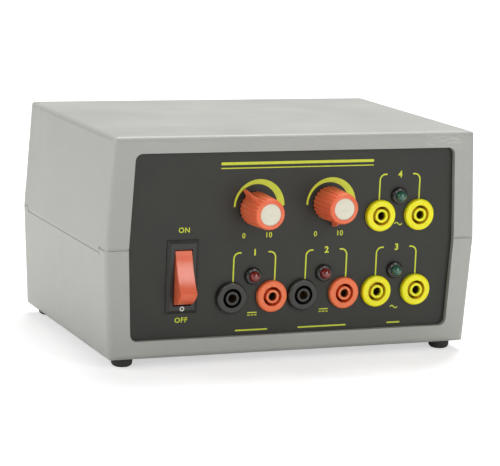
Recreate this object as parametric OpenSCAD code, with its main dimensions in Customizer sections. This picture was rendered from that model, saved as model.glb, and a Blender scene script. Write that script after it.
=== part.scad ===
// Power supply for a classroom ripple tank. A grey case in two halves holds a recessed black front panel
// with a rocker switch, two dials, four lamps and eight 4 mm sockets. A mains inlet and a fuse are at the
// back.
// Sizes are in millimetres. X runs from left to right seen from the front, Y from front to back and Z up.
// Inside the modules Y starts at the front rim and Z at the underside of the case. in_case() then moves each
// piece so that the whole object is centred from front to back and stands on its feet at Z = 0.

/* [Case] */
// Height of the case from its underside to its top, without the feet
case_h = 100; // [99:0.5:115]
// Depth of the case from the front rim to the rear rim
case_d = 122.5; // [122:0.5:150]
// Half of the width across the flat top, and across the flat underside
end_half = 88.5; // [88:0.5:91]
// Half of the width at the seam, where the sides bulge most
seam_half = 91.4; // [91.2:0.2:96]
// Height of the seam in the front and rear rims
seam_z = 49.6; // [49:0.2:52]
// Height of the seam along the two sides
side_seam_z = 47.5; // [46.5:0.1:48.5]
// Distance from the front rim to the step where the seam changes height
step_y = 8; // [7.5:0.5:12]
// Width of the short upright slit at that step
slit_w = 0.5; // [0.3:0.1:0.8]
// How far the slit runs above the front seam and below the side seam
slit_more = 1; // [0.5:0.1:2]
// Depth of the slit into the side wall
slit_d = 1.2; // [0.8:0.1:1.8]
// Rounding of the outer edges
edge_r = 2.5; // [1.5:0.1:2.6]
// Thickness of the walls
wall = 2.5; // [2.2:0.1:3]
// Thickness of the rim in front of each panel, which is how far the panels are recessed
rim_t = 2.5; // [2.2:0.1:3]
// Height of the shallow shadow groove above the seam
groove_h = 0.8; // [0.4:0.1:1.2]
// Depth of the shadow groove
groove_in = 0.3; // [0.2:0.1:0.6]
// Thickness of the rib that holds each panel from behind
rib_t = 2; // [1.5:0.1:2.4]
// How far that rib stands out of the walls
rib_h = 4; // [2:0.5:5]

/* [Window in the rims] */
// Half of the window's width along its top edge, and along its bottom edge
window_end_half = 78.4; // [76:0.2:80]
// Half of the window's width at the seam
window_mid_half = 80.4; // [78:0.2:82]
// Height of the rim above the window
top_rim = 7.4; // [6.5:0.1:8.5]
// Height of the rim below the window
bottom_rim = 8.3; // [7:0.1:9]
// Rounding of the window's corners
window_r = 3.4; // [2:0.1:6]

/* [Panels] */
// Thickness of the front and rear panels
panel_t = 2.5; // [2:0.1:3]
// Clearance between a panel's edge and the walls round it
panel_fit = 0.2; // [0.1:0.05:0.4]

/* [Case posts and screws] */
// Distance of the screw posts from the middle of the case
post_x = 80; // [78:0.5:81]
// Distance of the screw posts from the front and rear rims
post_inset = 18; // [16:0.5:22]
// Radius of the screw posts
post_r = 4.5; // [4.2:0.1:5]
// Thickness of post left between the screw head and the side seam
post_floor = 8; // [5:0.5:12]
// Radius of the hole that the screw head drops into
head_hole_r = 3.2; // [3.1:0.1:3.4]
// Radius of the case screws
case_screw_r = 1.45; // [1.2:0.05:1.6]
// Radius of the heads of the case screws
case_head_r = 2.9; // [2.4:0.1:3]
// Thickness of the heads of the case screws
case_head_h = 2; // [1.5:0.1:2.6]
// Length of the case screws under the head
case_screw_l = 20; // [16:0.5:26]
// Radial gap between a screw and its hole
screw_fit = 0.05; // [0.02:0.01:0.1]
// Width of the cross slot in the screw heads
slot_w = 0.8; // [0.5:0.1:1]
// Depth of the cross slot in the screw heads
slot_d = 1; // [0.5:0.1:1.3]

/* [Feet] */
// Distance of the feet from the middle of the case
foot_x = 79.5; // [77:0.5:81]
// Distance of the feet from the front and rear rims
foot_inset = 7.5; // [7:0.5:9]
// Radius of the rubber feet
foot_r = 4.8; // [4:0.1:4.9]
// How far the feet stand out of the underside
foot_h = 4; // [3:0.1:6]
// Rounding of the edge that the feet stand on
foot_round = 2; // [0.5:0.1:2.5]
// Depth of the seat that each foot is stuck into
foot_seat = 0.6; // [0.3:0.1:1]
// Radial gap round a foot in its seat
foot_fit = 0.2; // [0.1:0.05:0.4]

/* [Rocker switch] */
// Place of the switch across the panel
switch_x = -54.1; // [-58:0.1:-50]
// Height of the rocker's pivot
switch_z = 36.2; // [34:0.05:40]
// Width of the bezel
bezel_w = 15; // [14.6:0.1:17]
// Height of the bezel
bezel_h = 33.3; // [32:0.1:36]
// How far the middle of the bezel is above the pivot
bezel_rise = 0.3; // [0:0.05:0.8]
// How far the bezel stands out of the panel
bezel_proud = 1.5; // [1.2:0.1:2]
// Upright edge of the bezel next to the panel
bezel_edge = 0.4; // [0.2:0.1:0.8]
// Width of the slope round the bezel
bezel_slope = 1.5; // [0.5:0.1:1.6]
// Width of the opening for the rocker
throat_w = 8.6; // [8.2:0.1:9]
// Height of the opening for the rocker
throat_h = 25.6; // [25.2:0.1:26]
// Depth of the opening behind the bezel's face
throat_d = 16.6; // [16.4:0.1:17]
// Width of the housing behind the panel
housing_w = 12.6; // [12:0.1:13]
// Height of the housing behind the panel
housing_h = 30.4; // [29:0.1:31]
// Depth of the housing behind the panel's face
housing_d = 18; // [17.8:0.1:22]
// Gap between the housing and its cut-out in the panel
cutout_fit = 0.1; // [0.05:0.05:0.2]
// Width of the rocker
rocker_w = 7.8; // [7:0.1:8]
// Radius of the rocker's two ends about its pivot
rocker_r = 12.5; // [12:0.1:12.5]
// Angle from the rocker's middle to each front edge
rocker_edge_angle = 52.5; // [48:0.1:54]
// Tilt of the rocker to either side
rocker_tilt = 25.1; // [20:0.1:25.5]
// Distance of the pivot behind the bezel's face
pivot_back = 2.6; // [2.4:0.1:3]
// Depth of the hollow in the rocker's front face
rocker_dish = 1; // [0.4:0.1:1.5]
// Distance from the pivot to the rocker's flat back
rocker_back = 6.15; // [5.5:0.05:6.2]
// Radius of the pivot pins
pin_r = 1.2; // [1:0.05:1.3]
// Length of each pivot pin outside the rocker's side
pin_l = 1.8; // [1.4:0.1:2]
// Radial running gap of the pins in the housing
pin_fit = 0.05; // [0.02:0.01:0.08]
// Depth of the plunger's hole in the rocker's back
plunger_hole_d = 5; // [3:0.5:6]
// Radius of the plunger
plunger_r = 1.2; // [0.8:0.1:1.5]
// Distance from the pivot to the plunger's tip
plunger_reach = 12; // [11.9:0.1:12.2]
// Gap between the plunger's tip and the see-saw contact
plunger_gap = 0.1; // [0.05:0.05:0.2]
// Thickness of the see-saw contact
contact_t = 0.6; // [0.4:0.1:0.7]
// Width of the see-saw contact
contact_w = 4; // [3:0.1:5]
// Half of the angle that the see-saw contact spans round the rocker's pivot
contact_span = 27; // [20:1:28]
// Tilt of the see-saw contact to either side
contact_tilt = 5; // [3:0.5:6]
// Width of the switch's blades
blade_w = 4.8; // [4:0.1:6.3]
// Thickness of the blades
blade_t = 0.8; // [0.5:0.1:1]
// Length of the blades behind the housing
blade_l = 8; // [6:0.5:10]
// Distance of the lower blade from the middle one
blade_pitch = 8.5; // [8:0.1:10]
// Gap between the blades' inner ends and the see-saw contact
blade_gap = 0.3; // [0.2:0.05:0.5]

/* [Dials] */
// Place of the left dial across the panel
left_dial_x = -19.75; // [-24:0.05:-18]
// Height of the left dial
left_dial_z = 66.5; // [64:0.1:70]
// Place of the right dial across the panel
right_dial_x = 16.2; // [12:0.1:20]
// Height of the right dial
right_dial_z = 68; // [64:0.1:70]
// Angle of the left pointer, clockwise from straight up
left_pointer = -36; // [-134:1:166]
// Angle of the right pointer, clockwise from straight up
right_pointer = 166; // [-134:1:166]
// Gap between the panel and the back of the knob
knob_gap = 0.8; // [0.5:0.1:1.5]
// Radius of the knob at its back
knob_r = 7.8; // [7.4:0.1:9]
// Radius of the knob at the start of its nose
knob_front_r = 7.1; // [6.8:0.1:7.2]
// How far the knob's front stands out of the panel
knob_proud = 17.8; // [16:0.1:20]
// Length of the rounded nose at the knob's front
nose_l = 1.6; // [1:0.1:1.8]
// Number of flutes round the knob
flute_count = 24; // [16:1:30]
// Radius of each flute
flute_r = 0.55; // [0.3:0.05:0.7]
// How deep the flutes cut into the knob
flute_depth = 0.4; // [0.1:0.05:0.5]
// Distance from the knob's front to the ends of the flutes
flute_stop = 0.6; // [0.4:0.1:5]
// Radius of the pointer fin's tip
fin_r = 10.9; // [10:0.1:13]
// Width of the fin at its tip
fin_tip_w = 1; // [0.8:0.1:1.4]
// Width of the fin where it joins the knob
fin_root_w = 1.8; // [1.6:0.1:3]
// Distance from the panel at which the fin's crest starts to fall
fin_crest = 3; // [2:0.1:5]
// Distance from the panel at which the fin's crest meets the knob
fin_end = 12.5; // [10:0.1:13]
// How far the fin's root reaches into the knob's wall
fin_root_in = 0.5; // [0.3:0.1:0.7]
// Radius of the hollow in the knob's back, round the nut
nut_hollow_r = 6.2; // [6:0.1:6.3]
// Depth of that hollow from the panel
nut_hollow_d = 4.8; // [4.6:0.1:6]
// Radius of the cap in the knob's front
cap_r = 4.9; // [4.6:0.1:5.2]
// Thickness of the cap
cap_t = 1.3; // [1:0.1:1.6]
// How far the middle of the cap bulges
cap_bulge = 0.25; // [0.1:0.05:0.5]
// Gap round the cap
cap_fit = 0.05; // [0.02:0.01:0.1]
// Outer radius of the collet
collet_r = 4.2; // [4:0.1:4.3]
// Gap round the collet in the knob
collet_fit = 0.05; // [0.02:0.01:0.1]
// Width of the slit across the collet
collet_slit_w = 0.6; // [0.4:0.1:1]
// Length of the collet's back that the slit leaves whole
collet_whole = 2; // [1:0.5:4]
// Room between the collet's front and the cap
collet_room = 1.2; // [0.6:0.1:2]
// Radius of the shaft
shaft_r = 3; // [2.8:0.1:3.1]
// Running gap round the shaft
shaft_fit = 0.03; // [0.02:0.01:0.06]
// Radius of the rotor inside the potentiometer
rotor_r = 6; // [5:0.1:6.5]
// Thickness of the rotor
rotor_t = 2; // [1.5:0.1:2.5]
// Gap round the rotor
rotor_gap = 0.3; // [0.1:0.05:0.4]
// Outer radius of the potentiometer's bush
bush_r = 3.5; // [3.4:0.05:3.8]
// How far the bush stands out of the panel
bush_proud = 4.2; // [3:0.1:4.4]
// Radius of the potentiometer's case
pot_r = 8.3; // [7.8:0.1:9]
// Depth of the potentiometer's case behind the panel
pot_d = 9; // [8:0.5:14]
// Thickness of the potentiometer's walls
pot_wall = 1.5; // [1.2:0.1:2]
// Distance across the flats of the dial nuts
dial_nut_af = 10; // [9.5:0.1:10.2]
// Thickness of the dial nuts
dial_nut_t = 2; // [1.5:0.1:3]
// Gap between a thread and its nut, and round a bush in the panel
thread_fit = 0.05; // [0.02:0.01:0.1]
// Spacing of the potentiometer's three lugs
lug_pitch = 5; // [4:0.1:5.2]
// Width of each lug
lug_w = 2.4; // [1.5:0.1:3]
// Length of each lug below the potentiometer
lug_l = 6; // [4:0.5:8]

/* [Sockets] */
// Spacing of the two sockets of the left pair
pair_1_gap = 19.7; // [19:0.1:20.6]
// Spacing of the two sockets of the second pair
pair_2_gap = 20.6; // [19:0.1:20.6]
// Spacing of the two sockets of the lower right pair
pair_3_gap = 20.2; // [19:0.1:20.6]
// Spacing of the two sockets of the upper right pair
pair_4_gap = 19.8; // [19:0.1:20.6]
// Height of the lower row of sockets
lower_row_z = 25.95; // [24:0.05:27]
// Height of the upper pair of sockets
upper_row_z = 61.4; // [60:0.1:63]
// Middle of the left pair across the panel
pair_1_x = -20.4; // [-22:0.1:-19]
// Middle of the second pair across the panel
pair_2_x = 15.1; // [13:0.1:16]
// Middle of the lower right pair across the panel
pair_3_x = 52.1; // [50:0.1:53]
// Middle of the upper right pair across the panel
pair_4_x = 52.3; // [50:0.1:53]
// Radius of a socket's flange
flange_r = 7.3; // [6.9:0.05:7.5]
// How far a socket stands out of the panel
socket_proud = 2.5; // [2:0.1:3]
// Rounding of the flange's front edge
flange_round = 1; // [0.5:0.1:1.4]
// Radius of the socket's body behind the panel
body_r = 6; // [5.8:0.1:6.2]
// Depth of the socket's body behind the panel's face
body_d = 20; // [19:0.5:22]
// Outer radius of the ring-shaped groove round the socket's post
moat_r = 4.45; // [4.3:0.05:4.6]
// Depth of the groove behind the panel's face
moat_d = 16; // [14:0.5:17]
// Radius of the socket's post
socket_post_r = 3.1; // [3.05:0.05:3.2]
// Length of the plastic mouth
mouth_l = 1.5; // [1:0.1:2]
// Radius of the bore for the plug, in the plastic mouth and in the contact
bore_r = 2; // [1.95:0.01:2.02]
// Depth of the bore in the contact
bore_l = 19; // [18:0.5:19]
// Outer radius of the contact
tube_r = 2.55; // [2.5:0.05:2.6]
// Gap round the contact in the post
tube_fit = 0.05; // [0.03:0.01:0.06]
// Width of the slit that splits the front of the contact
split_w = 0.5; // [0.3:0.1:0.8]
// Length of that slit
split_l = 10; // [6:0.5:12]
// Length of the solder blade behind a socket
tail_l = 8; // [6:0.5:9]
// Distance across the flats of the socket nuts
socket_nut_af = 14; // [13.6:0.1:14.6]
// Thickness of the socket nuts
socket_nut_t = 4; // [3:0.5:5]

/* [Lamps] */
// Place of the left red lamp across the panel
lamp_1_x = -19.8; // [-22:0.1:-18]
// Place of the right red lamp across the panel
lamp_2_x = 15.3; // [13:0.1:17]
// Place of the lower green lamp across the panel
lamp_3_x = 51.4; // [50:0.1:53]
// Place of the upper green lamp across the panel
lamp_4_x = 51.85; // [50:0.05:53]
// Height of the lower lamps
lower_lamp_z = 35.55; // [35:0.05:38]
// Height of the upper lamp
upper_lamp_z = 70.4; // [70:0.1:73]
// Radius of a lamp's lens
lens_r = 2.5; // [2:0.1:2.6]
// Distance from the panel to the middle of the lens's dome
lens_proud = 2.4; // [2.2:0.1:4]
// Radius of the bezel's head
lamp_head_r = 4; // [3.9:0.1:4.5]
// How far the head stands out of the panel
lamp_head_proud = 2.2; // [1.6:0.1:3]
// Rounding of the head's front edge
lamp_head_round = 1.3; // [0.3:0.05:1.3]
// Radius of the bezel in the panel
collar_r = 3.5; // [3.3:0.05:3.7]
// Length of the bezel behind the panel's face
collar_back = 7; // [6:0.1:9]
// Gap round the lens in its bezel, and round the bezel in the panel
lamp_fit = 0.05; // [0.03:0.01:0.1]
// Radius of the rim at the back of the lens
lens_rim_r = 2.9; // [2.8:0.05:3]
// Thickness of that rim
lens_rim_t = 1; // [0.8:0.1:1.2]
// Length of the lens behind the panel's face
lens_back = 5; // [4:0.1:5.5]
// Width of a lamp's square leads
lead_w = 0.5; // [0.4:0.05:0.6]
// Spacing of the two leads
lead_pitch = 2.54; // [2:0.02:3]
// Length of the leads behind the lens
lead_l = 5; // [4:0.5:8]

/* [Mains inlet] */
// Place of the inlet across the back
inlet_x = -52; // [-54:0.5:-48]
// Distance of the inlet and the fuse below the top of the case
back_row_down = 26; // [24:0.5:27]
// Width of the inlet's flange
inlet_flange_w = 50; // [48:0.5:52]
// Height of the inlet's flange
inlet_flange_h = 22.4; // [21:0.1:24]
// Thickness of the inlet's flange
inlet_flange_t = 3; // [2:0.1:4]
// Rounding of the flange's corners
inlet_flange_r = 5; // [2:0.5:8]
// Width of the inlet's body
inlet_body_w = 27.4; // [27.2:0.1:28]
// Height of the inlet's body
inlet_body_h = 19.6; // [19.4:0.1:20]
// Depth of the inlet's body behind the panel's outer face
inlet_body_d = 20; // [19:0.5:22]
// Width of the hollow for the plug
inlet_hollow_w = 24.6; // [24.4:0.1:24.8]
// Height of the hollow for the plug
inlet_hollow_h = 16.6; // [16.4:0.1:16.8]
// Depth of the hollow behind the panel's outer face
inlet_hollow_d = 14.5; // [13:0.5:16]
// Cut across the two upper corners of the hollow
inlet_corner = 3.5; // [2:0.1:4]
// Distance of the two lower pins from the middle
inlet_pin_pitch = 7; // [6.8:0.1:7.2]
// Height of the upper pin above the middle, and of the lower pins below it
inlet_pin_rise = 2; // [1.5:0.1:2.5]
// Thickness of the pins
inlet_pin_t = 2; // [1.8:0.1:2.2]
// Height of the pins
inlet_pin_h = 4; // [3.5:0.1:4.5]
// How far the ends of the lower pins are below the flange's face
inlet_pin_sunk = 2; // [1:0.1:4]
// How far the upper pin reaches beyond the lower ones
earth_more = 1.5; // [0.5:0.1:1.8]
// Distance of the inlet's screws from its middle
inlet_screw_pitch = 20; // [19:0.1:21]
// Radius of the inlet's screws
inlet_screw_r = 1.45; // [1.2:0.05:1.6]
// Radius of the heads of the inlet's screws
inlet_head_r = 2.6; // [2.2:0.1:3]
// Thickness of the heads of the inlet's screws
inlet_head_h = 1.6; // [1.2:0.1:2]
// Length of the inlet's screws under the head
inlet_screw_l = 9; // [8:0.5:12]

/* [Fuse] */
// Place of the fuse across the back
fuse_x = 10; // [8:0.5:14]
// Radius of the fuse holder's body
holder_r = 6.2; // [6:0.1:6.6]
// Depth of the fuse holder behind the panel's outer face
holder_d = 34; // [33:0.5:38]
// Radius of the fuse holder's flange
holder_flange_r = 8; // [7.5:0.1:9]
// Thickness of the fuse holder's flange
holder_flange_t = 2; // [1.5:0.1:3]
// Radius of the holder's bore
holder_bore_r = 4.3; // [4.2:0.1:4.6]
// Depth of the holder's bore behind the panel's outer face
holder_bore_d = 28; // [27.5:0.5:30]
// Distance across the flats of the fuse nut
fuse_nut_af = 16; // [15:0.1:18]
// Thickness of the fuse nut
fuse_nut_t = 3; // [2:0.1:4]
// Radius of the cap's head
fuse_head_r = 6; // [5.5:0.1:7]
// Length of the cap's head
fuse_head_l = 6.5; // [5:0.1:8]
// Width of the slot in the cap's head
fuse_slot_w = 1.4; // [1:0.1:2]
// Depth of that slot
fuse_slot_d = 1.6; // [1:0.1:2]
// Gap between the cap and the holder
fuse_cap_fit = 0.1; // [0.05:0.01:0.2]
// Depth of the cap's sleeve behind the panel's outer face
fuse_sleeve_d = 12; // [10:0.5:14]
// Radius of the fuse's metal ends
fuse_r = 2.6; // [2.5:0.05:2.65]
// Length of each metal end
fuse_end_l = 5; // [4:0.5:6]
// Length of the whole fuse
fuse_l = 20; // [19:0.5:20]
// Radius of the fuse's glass
fuse_glass_r = 2.35; // [2.2:0.05:2.45]
// Thickness of the glass
fuse_glass_t = 0.5; // [0.4:0.05:0.7]
// Length of each metal end that holds the glass
fuse_lap = 2; // [1:0.5:3]
// Gap between the fuse and its inner contact
fuse_back_gap = 0.3; // [0.1:0.05:0.6]
// Gap between the fuse and what holds it
fuse_gap = 0.1; // [0.05:0.01:0.3]
// Depth of the fuse's outer end behind the panel's outer face
fuse_top_d = 6.5; // [6:0.5:7]

/* [Transformer] */
// Place of the transformer across the case
core_x = -38; // [-39:0.5:-36]
// Distance of the transformer's middle from the front rim
core_y = 74; // [72:0.5:76]
// Width of the core
core_w = 66; // [64:1:67]
// Height of the core
core_h = 55; // [53:1:56]
// Depth of the stack of sheets
core_d = 26; // [20:1:28]
// Width of the core's outer legs, and height of its two yokes
core_leg = 11; // [10:0.5:12]
// Width of the core's middle leg
core_mid = 22; // [20:0.5:24]
// Gap between the bobbin and the core
bobbin_fit = 0.2; // [0.1:0.05:0.4]
// Thickness of the bobbin's walls
bobbin_t = 1.2; // [0.8:0.1:1.6]
// How far the bobbin stands out of the core in front and behind
bobbin_out = 10.5; // [9:0.5:11]
// How far the windings stay inside the bobbin's flanges
winding_in = 1.2; // [0.5:0.1:2]
// Rounding of the windings' corners
winding_r = 5; // [2:0.5:6]
// Thickness of the frame's sheet
strap_t = 1.2; // [0.8:0.1:1.6]
// Width of the frame's sheet
strap_w = 18; // [12:1:20]
// Length of the frame's feet
strap_foot = 10; // [9:0.5:10.5]

/* [Board] */
// Middle of the board across the case
board_x = 46; // [45:0.5:48]
// Distance of the board's middle from the front rim
board_y = 67; // [66:0.5:68]
// Width of the board
board_w = 66; // [64:0.5:66]
// Depth of the board
board_l = 62; // [60:0.5:62]
// Thickness of the board
board_t = 1.6; // [1.2:0.1:2]
// Height of the stands under the board and the transformer
stand_h = 6; // [5:0.5:8]
// Radius of the stands
stand_r = 3.6; // [3.2:0.1:4]
// Distance of the board's screws from its edges
board_hole_in = 4; // [3.6:0.1:5]
// Radius of the screws in the stands
inner_screw_r = 1.45; // [1.2:0.05:1.6]
// Radius of their heads
inner_head_r = 2.7; // [2.4:0.1:3]
// Thickness of their heads
inner_head_h = 2; // [1.5:0.1:2.5]
// Length of the screws under the head
inner_screw_l = 6; // [5:0.5:6.5]
// Radius of the smoothing capacitors
capacitor_r = 9; // [7:0.5:9.5]
// Height of the smoothing capacitors
capacitor_h = 30; // [20:1:40]
// Height of the crimp round a capacitor's foot
crimp_z = 3; // [2:0.5:5]
// Radius of the tool that rolled that crimp
crimp_r = 1; // [0.6:0.1:1.4]
// How far the tool's middle stood out of the can
crimp_out = 0.4; // [0.3:0.05:0.8]
// Depth of the lines that let a capacitor's top burst safely
burst_d = 0.4; // [0.2:0.1:0.8]
// Width of those lines
burst_w = 0.6; // [0.4:0.1:1]
// Width of a rectifier
rectifier_w = 15; // [12:0.5:18]
// Thickness of a rectifier
rectifier_t = 4.5; // [3:0.5:6]
// Height of a rectifier's body
rectifier_h = 14; // [10:1:20]
// Height of a rectifier's body above the board
rectifier_z = 3; // [1:0.5:5]
// Spacing of a rectifier's four leads
rectifier_pitch = 3.8; // [3:0.1:4]
// Width of a regulator
regulator_w = 10; // [8:0.5:12]
// Thickness of a regulator's body
regulator_t = 4.4; // [3:0.1:5]
// Height of a regulator's body
regulator_h = 9; // [7:0.5:12]
// Thickness of the metal tab behind it
regulator_tab_t = 1.3; // [0.8:0.1:1.6]
// Height of the metal tab
regulator_tab_h = 15.5; // [12:0.5:18]
// Height of the regulators above the board
regulator_z = 4; // [2:0.5:6]
// Spacing of a regulator's three leads
regulator_pitch = 2.54; // [2:0.02:3]
// Width of the leads of the rectifiers and regulators
chip_lead_w = 1; // [0.8:0.1:1.2]
// Thickness of those leads
chip_lead_t = 0.6; // [0.4:0.1:1]
// Distance of the capacitors behind the board's middle
capacitor_row = 1; // [0:0.5:2]
// Distance of the rectifiers in front of the board's middle
rectifier_row = 15; // [13:0.5:17]
// Distance of the heat sink's face from the board's rear edge
sink_in = 8; // [6:0.5:9]
// Spacing of the capacitors, the rectifiers and the regulators
parts_pitch = 26; // [24:0.5:27]
// Width of the heat sink
sink_w = 52; // [48:1:56]
// Height of the heat sink
sink_h = 40; // [30:1:50]
// Thickness of the heat sink's plate
sink_t = 3; // [2:0.1:4]
// Length of the heat sink's fins
fin_l = 10; // [8:0.5:11]
// Thickness of the heat sink's fins
fin_t = 1.2; // [1:0.1:2]
// Number of fins
fin_count = 8; // [4:1:10]

/* [Vents] */
// Number of vent slots in the rear panel
vent_count = 8; // [4:1:8]
// Distance between the vent slots
vent_pitch = 6; // [5:0.5:6]
// Width of a vent slot
vent_w = 2.4; // [1.5:0.1:3]
// Height of a vent slot
vent_h = 34; // [20:1:44]
// Height of the middle of the vent slots
vent_z = 46; // [44:1:50]
// Place of the vent slots' middle across the back
vent_x = 48; // [47:0.5:50]

/* [Hidden] */
$fn = 48;
cut = 1;                                  // how far a cutting shape reaches past what it cuts
panel_y = rim_t;                          // front face of the front panel
back_y = case_d - rim_t;                  // outer face of the rear panel
bezel_y = panel_y - bezel_proud;
pivot_y = bezel_y + pivot_back;
bezel_low = switch_z + bezel_rise - bezel_h / 2;
front_proud = knob_proud - rim_t;         // how far the knobs stand out of the front rim
rear_proud = holder_flange_t + fuse_head_l - rim_t;   // how far the fuse cap stands out of the rear rim
front_y = -(case_d + rear_proud - front_proud) / 2;
back_row_z = case_h - back_row_down;
window_low = bottom_rim;
window_high = case_h - top_rim;
pairs = [[pair_1_x, pair_1_gap, lower_row_z], [pair_2_x, pair_2_gap, lower_row_z],
    [pair_3_x, pair_3_gap, lower_row_z], [pair_4_x, pair_4_gap, upper_row_z]];
sockets = [for (p = pairs) for (s = [-1, 1]) [p[0] + s * p[1] / 2, p[2]]];
lamps = [[lamp_1_x, lower_lamp_z], [lamp_2_x, lower_lamp_z], [lamp_3_x, lower_lamp_z],
    [lamp_4_x, upper_lamp_z]];
dials = [[left_dial_x, left_dial_z], [right_dial_x, right_dial_z]];
hex = 1 / cos(30);                        // corner radius of a hexagon for a flat radius of 1
stand_z = wall + stand_h;                 // where the board and the transformer stand
board_top = stand_z + board_t;
sink_y = board_y + board_l / 2 - sink_in;
strap_screw_x = core_w / 2 + strap_t + strap_foot / 2;
board_corner_x = board_w / 2 - board_hole_in;
board_corner_y = board_l / 2 - board_hole_in;
tail_y = panel_y + body_d + tail_l;       // rear ends of the sockets' blades
wire_sides = 8;
knob_lean = atan((knob_r - knob_front_r) / (knob_proud - nose_l - knob_gap));
mains_wire_r = 0.9;
thin_wire_r = 0.6;
lamp_wire_r = 0.3;
output_pads = [[23, 40], [28.5, 40], [34, 40], [39.5, 40], [45, 40], [61, 40], [42.5, 43.5], [62, 43.5]];
dial_pads = [[23.5, 47.3], [35.5, 47.3]];
lamp_pads = [[22, 43.5], [32, 43.5], [51, 43.5], [51, 47.3]];
grey = "#BFC0BA";
black = "#2B2B29";
orange = "#E8693F";
steel = "#B8BABC";
brass = "#C9A34E";
copper = "#B5673A";
yellow = "#F2EC12";
red = "#EF5A3C";

// Moves a piece from the case's own frame into the object's frame.
module in_case() translate([0, front_y, foot_h]) children();

// Turns a flat shape drawn in X and Z into a bar that runs from y0 towards the back.
module along_y(y0, length) translate([0, y0, 0]) rotate([90, 0, 0]) mirror([0, 0, 1])
    linear_extrude(length) children();

// Turns a flat shape drawn in Y and Z into a bar that runs from x0 to the right.
module along_x(x0, length) translate([x0, 0, 0]) rotate([90, 0, 90]) linear_extrude(length) children();

// Local Z points out of the front, local Y up and local X to the right.
module on_front(x, z) translate([x, panel_y, z]) rotate([90, 0, 0]) children();

// Local Z points out of the back, local Y up and local X to the left seen from the front.
module on_back(x, z) translate([x, back_y, z]) rotate([90, 0, 180]) children();

module rod(r, z0, z1) translate([0, 0, z0]) cylinder(r = r, h = z1 - z0);

module pipe(r_out, r_in, z0, z1) difference() {
    rod(r_out, z0, z1);
    rod(r_in, z0 - cut, z1 + cut);
}

module block(w, l, h) translate([-w / 2, -l / 2, 0]) cube([w, l, h]);

// Rectangle from the origin with its corners rounded.
module soft_rect(w, h, r) {
    translate([r, 0]) square([w - 2 * r, h]);
    translate([0, r]) square([w, h - 2 * r]);
    for (x = [r, w - r]) for (y = [r, h - r]) translate([x, y]) circle(r);
}

// Hexagon with upright ends that lean, seen from the front, with its four flat corners rounded.
module six_sided(end_w, mid_w, z_low, z_mid, z_high, r) {
    lean = atan((mid_w - end_w) / (z_high - z_mid));
    lean_low = atan((mid_w - end_w) / (z_mid - z_low));
    xt = end_w - r * (1 - sin(lean)) / cos(lean);
    xb = end_w - r * (1 - sin(lean_low)) / cos(lean_low);
    side = [[xb, z_low], [xb + r * cos(lean_low), z_low + r * (1 - sin(lean_low))], [mid_w, z_mid],
        [xt + r * cos(lean), z_high - r * (1 - sin(lean))], [xt, z_high]];
    polygon(concat(side, [for (i = [4 : -1 : 0]) [-side[i][0], side[i][1]]]));
    for (s = [-1, 1]) {
        translate([s * xt, z_high - r]) circle(r);
        translate([s * xb, z_low + r]) circle(r);
    }
}

// The case's section, with sharp corners, at a distance inside its outer faces.
module inner_outline(inset) polygon([[inset - end_half, inset], [end_half - inset, inset],
    [seam_half - inset, seam_z], [end_half - inset, case_h - inset],
    [inset - end_half, case_h - inset], [inset - seam_half, seam_z]]);

// A wide block whose one side is a leaning side of the case with its upright edges rounded.
module leaning_side(side, lean) translate([side * seam_half, 0, seam_z]) rotate([0, side * lean, 0])
    translate([0, 0, -case_h]) linear_extrude(2 * case_h) mirror([side < 0 ? 1 : 0, 0]) {
        translate([-3 * seam_half, 0]) square([3 * seam_half - edge_r, case_d]);
        translate([-2 * edge_r, edge_r]) square([2 * edge_r, case_d - 2 * edge_r]);
        for (y = [edge_r, case_d - edge_r]) translate([-edge_r, y]) circle(edge_r);
    }

// The whole outer form of the case. lean is the tilt of the sides in the half that is wanted.
module outer_form(lean) intersection() {
    along_y(0, case_d) six_sided(end_half, seam_half, 0, seam_z, case_h, edge_r);
    along_x(-2 * seam_half, 4 * seam_half) soft_rect(case_d, case_h, edge_r);
    leaning_side(1, lean);
    leaning_side(-1, lean);
}

// Everything that is hollow: the room inside, the grooves for the panels and the windows in the rims.
module hollow() {
    ledge = rim_t + panel_t + rib_t;
    along_y(rim_t, case_d - 2 * rim_t) inner_outline(wall + rib_h);
    along_y(rim_t, panel_t) inner_outline(wall);
    along_y(ledge, case_d - 2 * ledge) inner_outline(wall);
    along_y(case_d - rim_t - panel_t, panel_t) inner_outline(wall);
    along_y(-cut, case_d + 2 * cut) six_sided(window_end_half, window_mid_half, window_low, seam_z,
        window_high, window_r);
}

// The region of the lower half, seen from the side. slack widens the two steps of its upper edge.
module lower_region(slack) along_x(-2 * seam_half, 4 * seam_half) polygon([[-cut, -cut], [-cut, seam_z],
    [step_y + slack, seam_z], [step_y + slack, side_seam_z], [case_d - step_y - slack, side_seam_z],
    [case_d - step_y - slack, seam_z], [case_d + cut, seam_z], [case_d + cut, -cut]]);

// Short upright slits in both sides at the steps of the seam.
module slits() for (side = [-1, 1]) for (y = [step_y, case_d - step_y - slit_w])
    translate([side * (seam_half + cut - (slit_d + cut) / 2), y + slit_w / 2, side_seam_z - slit_more])
        block(slit_d + cut, slit_w, seam_z - side_seam_z + 2 * slit_more);

// A shallow band round the outside, just above a seam.
module shadow_groove(z, y0, y1) intersection() {
    translate([-2 * seam_half, -cut, z]) difference() {
        cube([4 * seam_half, case_d + 2 * cut, groove_h]);
        translate([seam_half + groove_in, cut + groove_in, -cut])
            cube([2 * (seam_half - groove_in), case_d - 2 * groove_in, groove_h + 2 * cut]);
    }
    translate([-2 * seam_half, y0, 0]) cube([4 * seam_half, y1 - y0, case_h]);
}

module at_posts() for (x = [-post_x, post_x]) for (y = [post_inset, case_d - post_inset])
    translate([x, y, 0]) children();

module at_feet() for (x = [-foot_x, foot_x]) for (y = [foot_inset, case_d - foot_inset])
    translate([x, y, 0]) children();

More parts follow.
